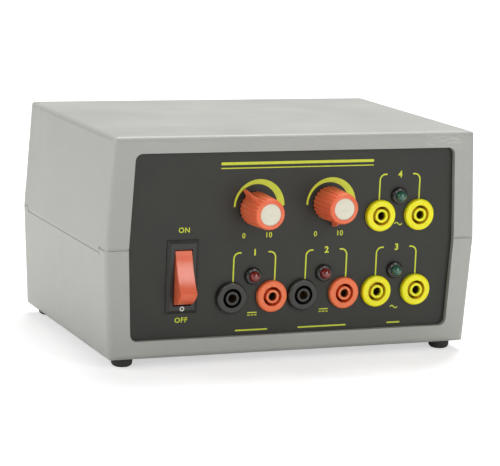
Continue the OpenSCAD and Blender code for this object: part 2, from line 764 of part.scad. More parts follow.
module at_stands() {
    for (x = [-1, 1]) translate([core_x + x * strap_screw_x, core_y, 0]) children();
    for (x = [-1, 1]) for (y = [-1, 1])
        translate([board_x + x * board_corner_x, board_y + y * board_corner_y, 0]) children();
}

module upper_shell() color(grey) in_case() difference() {
    union() {
        difference() {
            outer_form(-atan((seam_half - end_half) / (case_h - seam_z)));
            hollow();
        }
        at_posts() rod(post_r, side_seam_z, case_h - wall / 2);
    }
    lower_region(slit_w);
    slits();
    shadow_groove(seam_z, -cut, step_y);
    shadow_groove(seam_z, case_d - step_y, case_d + cut);
    shadow_groove(side_seam_z, step_y, case_d - step_y);
    at_posts()
        rod(case_screw_r + screw_fit, side_seam_z - cut, side_seam_z - post_floor + case_screw_l + cut);
}

module lower_shell() color(grey) in_case() difference() {
    union() {
        intersection() {
            difference() {
                outer_form(atan((seam_half - end_half) / seam_z));
                hollow();
            }
            lower_region(0);
        }
        at_posts() rod(post_r, wall / 2, side_seam_z);
        at_stands() rod(stand_r, wall / 2, stand_z);
    }
    slits();
    at_posts() rod(head_hole_r, -cut, side_seam_z - post_floor);
    at_posts() rod(case_screw_r + screw_fit, 0, side_seam_z + cut);
    at_stands() rod(inner_screw_r + screw_fit, wall, stand_z + cut);
    at_feet() rod(foot_r + foot_fit, -cut, foot_seat);
}

module rubber_feet() color(black) in_case() at_feet() translate([0, 0, -foot_h]) rotate_extrude() {
    translate([0, foot_round]) square([foot_r, foot_h + foot_seat - foot_round]);
    square([foot_r - foot_round, foot_h]);
    intersection() {
        translate([foot_r - foot_round, foot_round]) circle(foot_round);
        square([foot_r, foot_h]);
    }
}

// A round-headed screw with a cross slot. Its head stands on Z = 0 and it points down.
module screw(r, head_r, head_h, length) difference() {
    union() {
        rod(head_r, 0, head_h);
        rod(r, -length, cut / 2);
    }
    for (a = [0, 90]) rotate([0, 0, a]) translate([0, 0, head_h - slot_d])
        block(1.4 * head_r, slot_w, slot_d + cut);
}

module case_screws() color(steel) in_case() at_posts() translate([0, 0, side_seam_z - post_floor])
    mirror([0, 0, 1]) screw(case_screw_r, case_head_r, case_head_h, case_screw_l);

module at_sockets() for (s = sockets) on_front(s[0], s[1]) children();

module at_lamps() for (l = lamps) on_front(l[0], l[1]) children();

module at_dials() for (d = dials) on_front(d[0], d[1]) children();

module front_panel() color(black) in_case() difference() {
    along_y(panel_y, panel_t) inner_outline(wall + panel_fit);
    on_front(switch_x, switch_z) translate([0, 0, -panel_t - cut])
        block(housing_w + 2 * cutout_fit, housing_h + 2 * cutout_fit, panel_t + 2 * cut);
    at_dials() rod(bush_r + thread_fit, -panel_t - cut, cut);
    at_sockets() rod(body_r + thread_fit, -panel_t - cut, cut);
    at_lamps() rod(collar_r + lamp_fit, -panel_t - cut, cut);
}

module rear_panel() color(black) in_case() difference() {
    along_y(back_y - panel_t, panel_t) inner_outline(wall + panel_fit);
    on_back(inlet_x, back_row_z) {
        translate([0, 0, -panel_t - cut])
            block(inlet_body_w + 2 * cutout_fit, inlet_body_h + 2 * cutout_fit, panel_t + 2 * cut);
        for (x = [-1, 1]) translate([x * inlet_screw_pitch, 0, 0])
            rod(inlet_screw_r + screw_fit, -panel_t - cut, cut);
    }
    on_back(fuse_x, back_row_z) rod(holder_r + thread_fit, -panel_t - cut, cut);
    for (i = [0 : vent_count - 1])
        on_back(vent_x + (i - (vent_count - 1) / 2) * vent_pitch, vent_z) translate([0, 0, -panel_t - cut])
            linear_extrude(panel_t + 2 * cut) translate([-vent_w / 2, -vent_h / 2])
                soft_rect(vent_w, vent_h, vent_w * 0.49);
}

// Moves a piece that is drawn about the rocker's pivot, with X across and -Y out of the front.
module at_pivot() translate([switch_x, pivot_y, switch_z]) children();

module switch_housing() color(black) in_case() difference() {
    union() {
        on_front(switch_x, switch_z) translate([0, 0, -housing_d])
            block(housing_w, housing_h, housing_d + cut / 2);
        intersection() {
            translate([0, 0, bezel_low]) linear_extrude(bezel_h)
                bezel_section(switch_x - bezel_w / 2, bezel_w);
            along_x(switch_x - bezel_w / 2, bezel_w) mirror([-1, 1]) bezel_section(bezel_low, bezel_h);
        }
    }
    translate([switch_x - throat_w / 2, bezel_y - cut, switch_z - throat_h / 2])
        cube([throat_w, throat_d + cut, throat_h]);
    at_pivot() rotate([0, 90, 0])
        rod(pin_r + pin_fit, -rocker_w / 2 - pin_l - pin_fit, rocker_w / 2 + pin_l + pin_fit);
    for (z = [0, -blade_pitch]) translate([switch_x, bezel_y + throat_d - cut, switch_z + z - blade_t / 2])
        translate([0, housing_d, 0]) block(blade_w, 2 * housing_d, blade_t);
}

// Section through the bezel: upright at the panel, then sloping in to its face. Y is depth.
module bezel_section(start, width) polygon([[start, panel_y], [start, panel_y - bezel_edge],
    [start + bezel_slope, bezel_y], [start + width - bezel_slope, bezel_y],
    [start + width, panel_y - bezel_edge], [start + width, panel_y]]);

module switch_rocker() color(red) in_case() at_pivot() rotate([-rocker_tilt, 0, 0]) {
    face = rocker_r * cos(rocker_edge_angle);       // from the pivot to the line between the front edges
    half = rocker_r * sin(rocker_edge_angle);
    dish_r = (half * half + rocker_dish * rocker_dish) / (2 * rocker_dish);
    difference() {
        rotate([0, 90, 0]) rod(rocker_r, -rocker_w / 2, rocker_w / 2);
        translate([0, -face - rocker_r, -2 * rocker_r])
            block(rocker_w + 2 * cut, 2 * rocker_r, 4 * rocker_r);
        translate([0, -face + rocker_dish - dish_r, 0]) rotate([0, 90, 0])
            rod(dish_r, -rocker_w, rocker_w);
        translate([0, rocker_back + rocker_r, -2 * rocker_r])
            block(rocker_w + 2 * cut, 2 * rocker_r, 4 * rocker_r);
        rotate([-90, 0, 0]) rod(plunger_r + pin_fit, rocker_back - plunger_hole_d, rocker_back + cut);
    }
    for (s = [-1, 1]) rotate([0, 90, 0])
        rod(pin_r, min(s * (rocker_w / 2 - cut), s * (rocker_w / 2 + pin_l)),
            max(s * (rocker_w / 2 - cut), s * (rocker_w / 2 + pin_l)));
}

module switch_plunger() color(steel) in_case() at_pivot() rotate([-rocker_tilt, 0, 0]) rotate([-90, 0, 0]) {
    rod(plunger_r, rocker_back - plunger_hole_d, plunger_reach - plunger_r);
    translate([0, 0, plunger_reach - plunger_r]) sphere(plunger_r);
}

module switch_contact() color(copper) in_case()
    translate([switch_x, pivot_y + plunger_reach + plunger_gap + contact_t, switch_z])
        rotate([contact_tilt, 0, 0])
        translate([0, -plunger_reach - plunger_gap - contact_t, 0]) intersection() {
            rotate([0, 90, 0]) pipe(plunger_reach + plunger_gap + contact_t, plunger_reach + plunger_gap,
                -contact_w / 2, contact_w / 2);
            rotate([90, 0, 90]) translate([0, 0, -contact_w]) linear_extrude(2 * contact_w) polygon([[0, 0],
                [2 * rocker_r, -2 * rocker_r * tan(contact_span)],
                [2 * rocker_r, 2 * rocker_r * tan(contact_span)]]);
        }

module switch_terminals() color(steel) in_case() {
    inner = pivot_y + plunger_reach + plunger_gap + contact_t + blade_gap;
    outer = panel_y + housing_d + blade_l;
    translate([switch_x, (inner + outer) / 2, switch_z - blade_t / 2]) block(blade_w, outer - inner, blade_t);
    translate([switch_x, (bezel_y + throat_d + outer) / 2, switch_z - blade_pitch - blade_t / 2])
        block(blade_w, outer - bezel_y - throat_d, blade_t);
}

module dial_pot(dial) on_front(dial[0], dial[1]) {
    back = -panel_t - pot_d;
    difference() {
        union() {
            rod(bush_r, -panel_t - cut, bush_proud);
            rod(pot_r, back, -panel_t);
        }
        rod(shaft_r + shaft_fit, back + pot_wall, bush_proud + cut);
        rod(rotor_r + rotor_gap, back + pot_wall, -panel_t - pot_wall);
    }
}

module dial_pot_left() color(black) in_case() dial_pot(dials[0]);

module dial_pot_right() color(black) in_case() dial_pot(dials[1]);

module dial_nuts() color(steel) in_case() at_dials() difference() {
    cylinder(r = dial_nut_af / 2 * hex, h = dial_nut_t, $fn = 6);
    rod(bush_r + thread_fit, -cut, dial_nut_t + cut);
}

module dial_terminals() color(steel) in_case() at_dials() for (i = [-1, 0, 1])
    translate([i * lug_pitch - lug_w / 2, -pot_r - lug_l, -panel_t - pot_d - blade_t])
        cube([lug_w, lug_l + pot_r / 2, blade_t]);

module dial_shaft(dial) on_front(dial[0], dial[1]) {
    rod(shaft_r, -panel_t - pot_d + pot_wall + rotor_gap, knob_proud - cap_t - collet_room);
    rod(rotor_r, -panel_t - pot_wall - rotor_gap - rotor_t, -panel_t - pot_wall - rotor_gap);
}

module dial_shaft_left() color(steel) in_case() dial_shaft(dials[0]);

module dial_shaft_right() color(steel) in_case() dial_shaft(dials[1]);

// The knob's outer form as a turned shape: a slight taper, then a rounded nose.
module knob_form() rotate_extrude() {
    polygon([[0, knob_gap], [knob_r, knob_gap], [knob_front_r, knob_proud - nose_l],
        [knob_front_r - nose_l, knob_proud], [0, knob_proud]]);
    intersection() {
        translate([knob_front_r - nose_l, knob_proud - nose_l]) circle(nose_l);
        translate([0, knob_proud - nose_l]) square([knob_front_r, nose_l]);
    }
}

// The pointer fin, which narrows outwards and falls towards the knob's front. It points along local Y.
module fin() intersection() {
    translate([0, 0, knob_gap]) linear_extrude(fin_end)
        polygon([[-fin_root_w / 2, collet_r + cut], [fin_root_w / 2, collet_r + cut],
            [fin_root_w / 2, knob_front_r - fin_root_in], [fin_tip_w / 2, fin_r], [-fin_tip_w / 2, fin_r],
            [-fin_root_w / 2, knob_front_r - fin_root_in]]);
    rotate([90, 0, 90]) translate([0, 0, -fin_root_w]) linear_extrude(2 * fin_root_w)
        polygon([[knob_front_r - fin_root_in, knob_gap], [fin_r, knob_gap], [fin_r, fin_crest],
            [knob_front_r, fin_end], [knob_front_r - fin_root_in, fin_end]]);
}

module knob(dial, pointer) on_front(dial[0], dial[1]) rotate([0, 0, -pointer]) difference() {
    union() {
        difference() {
            knob_form();
            for (i = [0 : flute_count - 1]) rotate([0, 0, i * 360 / flute_count])
                translate([0, knob_r + flute_r - flute_depth, knob_gap]) rotate([knob_lean, 0, 0])
                    rod(flute_r, -cut, knob_proud - flute_stop - knob_gap);
        }
        fin();
    }
    rod(nut_hollow_r, 0, nut_hollow_d);
    rod(collet_r + collet_fit, 0, knob_proud + cut);
    rod(cap_r + cap_fit, knob_proud - cap_t, knob_proud + cut);
}

module knob_left() color(orange) in_case() knob(dials[0], left_pointer);

module knob_right() color(orange) in_case() knob(dials[1], right_pointer);

module collet(dial) on_front(dial[0], dial[1]) difference() {
    rod(collet_r, nut_hollow_d, knob_proud - cap_t - collet_room);
    rod(shaft_r + shaft_fit, 0, knob_proud);
    translate([0, 0, nut_hollow_d + collet_whole]) block(2 * collet_r + cut, collet_slit_w, knob_proud);
}

module collet_left() color(brass) in_case() collet(dials[0]);

module collet_right() color(brass) in_case() collet(dials[1]);

// The cap is a disc whose front bulges a little.
module knob_cap(dial) on_front(dial[0], dial[1]) rotate_extrude() intersection() {
    ball = (cap_r * cap_r + cap_bulge * cap_bulge) / (2 * cap_bulge);
    translate([0, knob_proud - cap_t]) square([cap_r, cap_t + cap_bulge]);
    translate([0, knob_proud - ball]) circle(ball, $fn = 720);
}

module knob_cap_left() color("#EAE8DA") in_case() knob_cap(dials[0]);

module knob_cap_right() color("#EAE8DA") in_case() knob_cap(dials[1]);

// The insulating body of socket number i.
module socket(i) in_case() on_front(sockets[i][0], sockets[i][1]) difference() {
    union() {
        rotate_extrude() {
            square([flange_r, socket_proud - flange_round]);
            square([flange_r - flange_round, socket_proud]);
            intersection() {
                translate([flange_r - flange_round, socket_proud - flange_round]) circle(flange_round);
                square([flange_r, socket_proud]);
            }
        }
        rod(body_r, -body_d, cut / 2);
    }
    difference() {
        rod(moat_r, -moat_d, socket_proud + cut);
        rod(socket_post_r, -moat_d - cut, socket_proud + 2 * cut);
    }
    rod(bore_r, 0, socket_proud + cut);
    rod(tube_r + tube_fit, -body_d - cut, socket_proud - mouth_l);
}

module socket_black_1() color(black) socket(0);

module socket_red_1() color(red) socket(1);

module socket_black_2() color(black) socket(2);

module socket_red_2() color(red) socket(3);

module socket_yellow_1() color(yellow) socket(4);

module socket_yellow_2() color(yellow) socket(5);

module socket_yellow_3() color(yellow) socket(6);

module socket_yellow_4() color(yellow) socket(7);

module socket_contacts() color(brass) in_case() at_sockets() {
    front = socket_proud - mouth_l;
    difference() {
        rod(tube_r, -body_d, front);
        rod(bore_r, front - bore_l, front + cut);
        translate([0, 0, front - split_l]) block(split_w, 2 * tube_r + cut, split_l + cut);
    }
    translate([0, 0, -body_d - tail_l]) block(blade_w, blade_t, tail_l + cut / 2);
}

module socket_nuts() color(black) in_case() at_sockets()
        translate([0, 0, -panel_t - socket_nut_t]) difference() {
    rotate([0, 0, 30]) cylinder(r = socket_nut_af / 2 * hex, h = socket_nut_t, $fn = 6);
    rod(body_r + thread_fit, -cut, socket_nut_t + cut);
}

module lamp(i) in_case() on_front(lamps[i][0], lamps[i][1]) {
    rod(lens_r, -lens_back, lens_proud);
    rod(lens_rim_r, -lens_back, -lens_back + lens_rim_t);
    translate([0, 0, lens_proud]) sphere(lens_r);
}

module lamp_red_1() color("#7A1512") lamp(0);

module lamp_red_2() color("#7A1512") lamp(1);

module lamp_green_lower() color("#123F22") lamp(2);

module lamp_green_upper() color("#123F22") lamp(3);

module lamp_bezels() color(black) in_case() at_lamps() difference() {
    rotate_extrude() {
        square([lamp_head_r, lamp_head_proud - lamp_head_round]);
        square([lamp_head_r - lamp_head_round, lamp_head_proud]);
        intersection() {
            translate([lamp_head_r - lamp_head_round, lamp_head_proud - lamp_head_round])
                circle(lamp_head_round);
            square([lamp_head_r, lamp_head_proud]);
        }
        translate([0, -collar_back]) square([collar_r, collar_back]);
    }
    rod(lens_r + lamp_fit, -collar_back - cut, lamp_head_proud + cut);
    rod(lens_rim_r + lamp_fit, -collar_back - cut, -lens_back + lens_rim_t);
}

module lamp_leads() color(steel) in_case() at_lamps() for (s = [-1, 1])
    translate([s * lead_pitch / 2, 0, -lens_back - lead_l]) block(lead_w, lead_w, lead_l);

module mains_inlet() color(black) in_case() on_back(inlet_x, back_row_z) difference() {
    union() {
        translate([-inlet_flange_w / 2, -inlet_flange_h / 2, 0]) linear_extrude(inlet_flange_t)
            soft_rect(inlet_flange_w, inlet_flange_h, inlet_flange_r);
        translate([0, 0, -inlet_body_d]) block(inlet_body_w, inlet_body_h, inlet_body_d + cut);
    }
    translate([0, 0, -inlet_hollow_d]) linear_extrude(inlet_hollow_d + inlet_flange_t + cut)
        inlet_hollow(inlet_hollow_w / 2, inlet_hollow_h / 2);
    for (x = [-1, 1]) translate([x * inlet_screw_pitch, 0, 0])
        rod(inlet_screw_r + screw_fit, -cut, inlet_flange_t + cut);
    at_pins() translate([0, 0, -inlet_body_d - cut]) block(inlet_pin_t, inlet_pin_h, inlet_body_d);
}

module inlet_hollow(w, h) polygon([[-w, -h], [w, -h], [w, h - inlet_corner], [w - inlet_corner, h],
    [inlet_corner - w, h], [-w, h - inlet_corner]]);

module at_pins() {
    for (x = [-1, 1]) translate([x * inlet_pin_pitch, -inlet_pin_rise, 0]) children();
    translate([0, inlet_pin_rise, 0]) children();
}

// One inlet pin: a flat blade in the hollow that runs on as a tab behind the inlet.
module inlet_pin(x, y, more) translate([x, y, -inlet_body_d - blade_l])
    block(inlet_pin_t, inlet_pin_h, inlet_body_d + blade_l + inlet_flange_t - inlet_pin_sunk + more);

module inlet_pins() color(brass) in_case() on_back(inlet_x, back_row_z) {
    for (x = [-1, 1]) inlet_pin(x * inlet_pin_pitch, -inlet_pin_rise, 0);
    inlet_pin(0, inlet_pin_rise, earth_more);
}

module inlet_screws() color(steel) in_case() on_back(inlet_x, back_row_z) for (x = [-1, 1])
    translate([x * inlet_screw_pitch, 0, inlet_flange_t])
        screw(inlet_screw_r, inlet_head_r, inlet_head_h, inlet_screw_l);

module fuse_holder() color(black) in_case() on_back(fuse_x, back_row_z) difference() {
    union() {
        rod(holder_flange_r, 0, holder_flange_t);
        rod(holder_r, -holder_d, cut / 2);
    }
    rod(holder_bore_r, -holder_bore_d, holder_flange_t + cut);
    translate([0, 0, -holder_d - cut]) block(blade_w, blade_t, holder_d);
    translate([holder_r, 0, -fuse_top_d - fuse_l + fuse_end_l / 2]) block(2 * holder_r, blade_w, blade_t);
}

module fuse_nut() color(black) in_case() on_back(fuse_x, back_row_z) translate([0, 0, -panel_t - fuse_nut_t])
    difference() {
        cylinder(r = fuse_nut_af / 2 * hex, h = fuse_nut_t, $fn = 6);
        rod(holder_r + thread_fit, -cut, fuse_nut_t + cut);
    }

module fuse_cap() color(black) in_case() on_back(fuse_x, back_row_z) difference() {
    union() {
        rod(fuse_head_r, holder_flange_t + fuse_cap_fit, holder_flange_t + fuse_head_l);
        rod(holder_bore_r - fuse_cap_fit, -fuse_sleeve_d, holder_flange_t + fuse_cap_fit + cut);
    }
    rod(fuse_r + fuse_gap, -fuse_sleeve_d - cut, -fuse_top_d + fuse_gap);
    translate([0, 0, holder_flange_t + fuse_head_l - fuse_slot_d])
        block(2 * fuse_head_r + cut, fuse_slot_w, fuse_slot_d + cut);
}

module fuse_glass() color("#D8E4E6") in_case() on_back(fuse_x, back_row_z) pipe(fuse_glass_r,
    fuse_glass_r - fuse_glass_t, -fuse_top_d - fuse_l + fuse_end_l - fuse_lap,
    -fuse_top_d - fuse_end_l + fuse_lap);

// Two metal cups that the glass sits in.
module fuse_ends() color(steel) in_case() on_back(fuse_x, back_row_z) for (s = [-1, 1])
    translate([0, 0, -fuse_top_d - fuse_l / 2]) mirror([0, 0, s < 0 ? 1 : 0]) difference() {
        rod(fuse_r, fuse_l / 2 - fuse_end_l, fuse_l / 2);
        rod(fuse_glass_r, fuse_l / 2 - fuse_end_l - cut, fuse_l / 2 - fuse_end_l + fuse_lap);
    }

module fuse_terminals() color(steel) in_case() on_back(fuse_x, back_row_z) {
    inner = -fuse_top_d - fuse_l - fuse_back_gap;
    translate([0, 0, -holder_d - blade_l]) block(blade_w, blade_t, holder_d + blade_l + inner);
    translate([holder_bore_r + blade_l / 2, 0, -fuse_top_d - fuse_l + fuse_end_l / 2])
        block(blade_l, blade_w, blade_t);
}

module transformer_core() color("#5A5C5E") in_case() translate([core_x, 0, stand_z]) difference() {
    along_y(core_y - core_d / 2, core_d) translate([-core_w / 2, 0]) square([core_w, core_h]);
    for (s = [-1, 1]) along_y(core_y - core_d / 2 - cut, core_d + 2 * cut)
        translate([s > 0 ? core_mid / 2 : core_leg - core_w / 2, core_leg])
            square([core_w / 2 - core_leg - core_mid / 2, core_h - 2 * core_leg]);
}

// Moves to the middle of the transformer's window height, at its lower end.
module at_bobbin() translate([core_x, core_y, stand_z + core_leg]) children();

module transformer_bobbin() color("#E4DFC8") in_case() at_bobbin() {
    high = core_h - 2 * core_leg;
    reach_w = core_w - 2 * core_leg - 2 * bobbin_fit;
    reach_d = core_d + 2 * bobbin_out;
    difference() {
        union() {
            translate([0, 0, bobbin_fit]) block(reach_w, reach_d, bobbin_t);
            translate([0, 0, high - bobbin_fit - bobbin_t]) block(reach_w, reach_d, bobbin_t);
            translate([0, 0, bobbin_fit]) block(core_mid + 2 * (bobbin_fit + bobbin_t),
                core_d + 2 * (bobbin_fit + bobbin_t), high - 2 * bobbin_fit);
        }
        translate([0, 0, -cut]) block(core_mid + 2 * bobbin_fit, core_d + 2 * bobbin_fit, high + 2 * cut);
    }
}

module transformer_windings() color(copper) in_case() at_bobbin() {
    wide = core_w - 2 * core_leg - 2 * bobbin_fit - 2 * winding_in;
    deep = core_d + 2 * bobbin_out - 2 * winding_in;
    low = bobbin_fit + bobbin_t;
    high = core_h - 2 * core_leg - 2 * low;
    difference() {
        translate([-wide / 2, -deep / 2, low]) linear_extrude(high) soft_rect(wide, deep, winding_r);
        translate([0, 0, low - cut]) block(core_mid + 2 * (bobbin_fit + bobbin_t),
            core_d + 2 * (bobbin_fit + bobbin_t), high + 2 * cut);
    }
}

module transformer_frame() color(steel) in_case() translate([core_x, 0, stand_z]) difference() {
    along_y(core_y - strap_w / 2, strap_w) difference() {
        union() {
            translate([-core_w / 2 - strap_t, 0]) square([core_w + 2 * strap_t, core_h + strap_t]);
            translate([-core_w / 2 - strap_t - strap_foot, 0])
                square([core_w + 2 * (strap_t + strap_foot), strap_t]);
        }
        translate([-core_w / 2, -cut]) square([core_w, core_h + cut]);
    }
    for (s = [-1, 1]) translate([s * strap_screw_x, core_y, 0])
        rod(inner_screw_r + screw_fit, -cut, strap_t + cut);
}

module inner_screws() color(steel) in_case() {
    for (s = [-1, 1]) translate([core_x + s * strap_screw_x, core_y, stand_z + strap_t])
        screw(inner_screw_r, inner_head_r, inner_head_h, inner_screw_l);
    for (x = [-1, 1]) for (y = [-1, 1])
        translate([board_x + x * board_corner_x, board_y + y * board_corner_y, board_top])
            screw(inner_screw_r, inner_head_r, inner_head_h, inner_screw_l);
}

module circuit_board() color("#2F6B3C") in_case() difference() {
    translate([board_x, board_y, stand_z]) block(board_w, board_l, board_t);
    for (x = [-1, 1]) for (y = [-1, 1])
        translate([board_x + x * board_corner_x, board_y + y * board_corner_y, 0])
            rod(inner_screw_r + screw_fit, stand_z - cut, board_top + cut);
}

module at_parts(y) for (s = [-1, 1]) translate([board_x + s * parts_pitch / 2, y, board_top]) children();

module capacitors() color("#23324E") in_case() at_parts(board_y + capacitor_row) difference() {
    rod(capacitor_r, 0, capacitor_h);
    translate([0, 0, crimp_z]) rotate_extrude() translate([capacitor_r + crimp_out, 0]) circle(crimp_r);
    for (a = [0, 60, 120]) rotate([0, 0, a]) translate([0, 0, capacitor_h - burst_d])
        block(capacitor_r, burst_w, burst_d + cut);
}

module rectifiers() color(black) in_case() at_parts(board_y - rectifier_row) {
    translate([0, 0, rectifier_z]) block(rectifier_w, rectifier_t, rectifier_h);
    for (i = [-1.5, -0.5, 0.5, 1.5]) translate([i * rectifier_pitch, 0, 0])
        block(chip_lead_w, chip_lead_t, rectifier_z + cut);
}

module regulators() color(black) in_case() at_parts(sink_y) {
    translate([0, -regulator_t / 2, regulator_z]) block(regulator_w, regulator_t, regulator_h);
    translate([0, -regulator_tab_t / 2, regulator_z]) block(regulator_w, regulator_tab_t, regulator_tab_h);
    for (i = [-1, 0, 1]) translate([i * regulator_pitch, -regulator_t / 2, 0])
        block(chip_lead_w, chip_lead_t, regulator_z + cut);
}

module heat_sink() color("#4A4C4E") in_case() translate([board_x, sink_y, board_top]) {
    translate([0, sink_t / 2, 0]) block(sink_w, sink_t, sink_h);
    for (i = [0 : fin_count - 1])
        translate([(i / (fin_count - 1) - 0.5) * (sink_w - fin_t), sink_t + fin_l / 2 - cut / 2, 0])
            block(fin_t, fin_l + cut, sink_h);
}

// Point, and direction, at share t of a smooth curve that leaves a along pull_a and arrives at b from pull_b.
function curve(a, pull_a, b, pull_b, t) = pow(1 - t, 3) * a + 3 * pow(1 - t, 2) * t * (a + pull_a)
    + 3 * (1 - t) * t * t * (b + pull_b) + pow(t, 3) * b;

function heading(a, pull_a, b, pull_b, t) = pow(1 - t, 2) * pull_a
    + 2 * (1 - t) * t * (b + pull_b - a - pull_a) - t * t * pull_b;

function unit(v) = v / norm(v);

// A wire along that curve. across is any direction that the wire never runs in. ends holds the two directions
// that its end faces look along, where the wire meets a flat face aslant.
module wire(a, pull_a, b, pull_b, r, across, rings, ends = []) {
    points = [for (i = [0 : rings]) let (t = i / rings, aslant = len(ends) == 2 && (i == 0 || i == rings),
        d = aslant ? ends[i / rings] : unit(heading(a, pull_a, b, pull_b, t)),
        u = unit(cross(d, across)), v = cross(d, u), p = curve(a, pull_a, b, pull_b, t))
        for (k = [0 : wire_sides - 1])
            p + r * (cos(k * 360 / wire_sides) * u + sin(k * 360 / wire_sides) * v)];
    quads = [for (i = [0 : rings - 1]) for (k = [0 : wire_sides - 1]) let (n = (k + 1) % wire_sides)
        [i * wire_sides + k, i * wire_sides + n, (i + 1) * wire_sides + n, (i + 1) * wire_sides + k]];
    polyhedron(points = points, faces = concat(quads, [[for (k = [wire_sides - 1 : -1 : 0]) k]],
        [[for (k = [0 : wire_sides - 1]) rings * wire_sides + k]]));
}

module mains_wires() color("#7A5230") in_case() {
    tab_y = back_y - inlet_body_d - blade_l;
    side_y = back_y - fuse_top_d - fuse_l + fuse_end_l / 2;
    blade_y = panel_y + housing_d + blade_l;
    coil_y = core_y + core_d / 2 + bobbin_out - 4;
    coil_z = stand_z + core_h - core_leg - bobbin_fit;
    wire([inlet_x - inlet_pin_pitch, tab_y, back_row_z - inlet_pin_rise], [0, -10, 16],
        [fuse_x, back_y - holder_d - blade_l, back_row_z], [0, -14, 16], mains_wire_r, [0, 0, 1], 24,
        [[0, -1, 0], [0, 1, 0]]);
    wire([fuse_x - holder_bore_r - blade_l, side_y, back_row_z], [-21, 0, 8],
        [switch_x, blade_y, switch_z], [0, 18, 50], mains_wire_r, [-1, 1, 1], 28, [[-1, 0, 0], [0, -1, 0]]);
    wire([switch_x, blade_y, switch_z - blade_pitch], [-16, 22, 60],
        [core_x - 18, coil_y, coil_z], [0, 0, 38], mains_wire_r, [1, 0, 0], 28, [[0, 1, 0], [0, 0, -1]]);
    wire([inlet_x + inlet_pin_pitch, tab_y, back_row_z - inlet_pin_rise], [0, -14, 2],
        [core_x - 4, coil_y, coil_z], [0, 0, 18], mains_wire_r, [1, 0, 0], 12, [[0, -1, 0], [0, 0, -1]]);
    wire([inlet_x, tab_y, back_row_z + inlet_pin_rise], [0, -9, 0],
        [core_x - 8, core_y, stand_z + core_h + strap_t], [0, 0, 9], mains_wire_r, [1, 0, 0], 10);
}

module low_voltage_wires() color("#3A4A8C") in_case() {
    coil_y = core_y - core_d / 2 - bobbin_out + 4;
    coil_z = stand_z + core_h - core_leg - bobbin_fit;
    lug_z = pot_r + lug_l - 1;
    for (i = [0 : 7]) wire([sockets[i][0], tail_y, sockets[i][1]], [0, 9, 0],
        [output_pads[i][0], output_pads[i][1], board_top], [0, 0, 14 + i], thin_wire_r, [-1, 1, 1], 16);
    for (d = [0, 1]) for (i = [-1, 0, 1])
        wire([dials[d][0] + i * lug_pitch, panel_y + panel_t + pot_d + blade_t, dials[d][1] - lug_z],
            [0, 36, 0], [dial_pads[d][0] + 3.5 * i, dial_pads[d][1], board_top], [0, 0, 30],
            thin_wire_r, [-1, 1, 1], 16);
    for (l = [0 : 3]) for (s = [-1, 1])
        wire([lamps[l][0] + s * lead_pitch / 2, panel_y + lens_back + lead_l, lamps[l][1]], [0, 30, 0],
            [lamp_pads[l][0] + s * lead_pitch / 2, lamp_pads[l][1], board_top], [0, 0, 26],
            lamp_wire_r, [-1, 1, 1], 16);
    for (i = [0 : 3]) wire([core_x + 10 + 4 * i, coil_y, coil_z], [0, 0, 44 - 6 * i],
        [board_x - 24 - 2.7 * i, board_y - 10, board_top], [0, 0, 44 - 6 * i], mains_wire_r, [0, 1, 0], 16);
}

upper_shell();
lower_shell();
rubber_feet();
case_screws();
front_panel();
rear_panel();
switch_housing();
switch_rocker();
switch_plunger();
switch_contact();
switch_terminals();
dial_pot_left();
dial_pot_right();
dial_nuts();
dial_terminals();
dial_shaft_left();
dial_shaft_right();
knob_left();
knob_right();
collet_left();
collet_right();
knob_cap_left();
knob_cap_right();
socket_black_1();
socket_red_1();
socket_black_2();
socket_red_2();
socket_yellow_1();
socket_yellow_2();
socket_yellow_3();
socket_yellow_4();
socket_contacts();
socket_nuts();
lamp_red_1();
lamp_red_2();
lamp_green_lower();
lamp_green_upper();
lamp_bezels();
lamp_leads();
mains_inlet();
inlet_pins();
inlet_screws();
fuse_holder();
fuse_nut();
fuse_cap();
fuse_glass();
fuse_ends();
fuse_terminals();
transformer_core();
transformer_bobbin();
transformer_windings();
transformer_frame();
inner_screws();
circuit_board();
capacitors();
rectifiers();
regulators();
heat_sink();
mains_wires();
low_voltage_wires();
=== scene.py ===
# %% [markdown]
# # A small bench power supply
#
# The object is a grey two-part plastic case with a recessed black front panel. The panel carries a
# rocker switch, two pointer dials, four small lamps and eight 4 mm sockets. Its exact shapes come
# from a CAD model, which this script loads as a fixed frame. Blender adds what the CAD model can't
# say: the finish of each surface, the printed marks on the panel, the light and the camera.

# %% Load the CAD frame
import math

import bpy
from mathutils import Matrix, Vector


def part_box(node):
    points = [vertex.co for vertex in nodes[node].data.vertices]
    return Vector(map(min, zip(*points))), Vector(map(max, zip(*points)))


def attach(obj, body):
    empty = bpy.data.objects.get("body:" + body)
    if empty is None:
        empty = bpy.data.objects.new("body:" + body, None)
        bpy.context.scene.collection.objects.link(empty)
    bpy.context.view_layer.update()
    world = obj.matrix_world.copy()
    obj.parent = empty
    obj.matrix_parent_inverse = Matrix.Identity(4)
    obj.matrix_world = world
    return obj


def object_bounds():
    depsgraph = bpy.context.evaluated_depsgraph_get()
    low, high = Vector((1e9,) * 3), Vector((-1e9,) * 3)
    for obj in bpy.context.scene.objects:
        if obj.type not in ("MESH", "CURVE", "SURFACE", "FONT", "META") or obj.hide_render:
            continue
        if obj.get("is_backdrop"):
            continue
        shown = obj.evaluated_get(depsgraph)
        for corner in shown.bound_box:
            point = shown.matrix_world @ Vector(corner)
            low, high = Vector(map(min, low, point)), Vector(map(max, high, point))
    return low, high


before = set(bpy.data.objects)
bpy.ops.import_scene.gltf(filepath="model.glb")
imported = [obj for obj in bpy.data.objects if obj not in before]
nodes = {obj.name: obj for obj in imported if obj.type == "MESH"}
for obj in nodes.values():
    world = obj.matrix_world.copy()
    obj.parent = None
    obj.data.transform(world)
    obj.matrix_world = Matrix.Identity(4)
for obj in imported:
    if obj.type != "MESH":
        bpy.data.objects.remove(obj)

cad_low, cad_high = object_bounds()
MM = 0.001
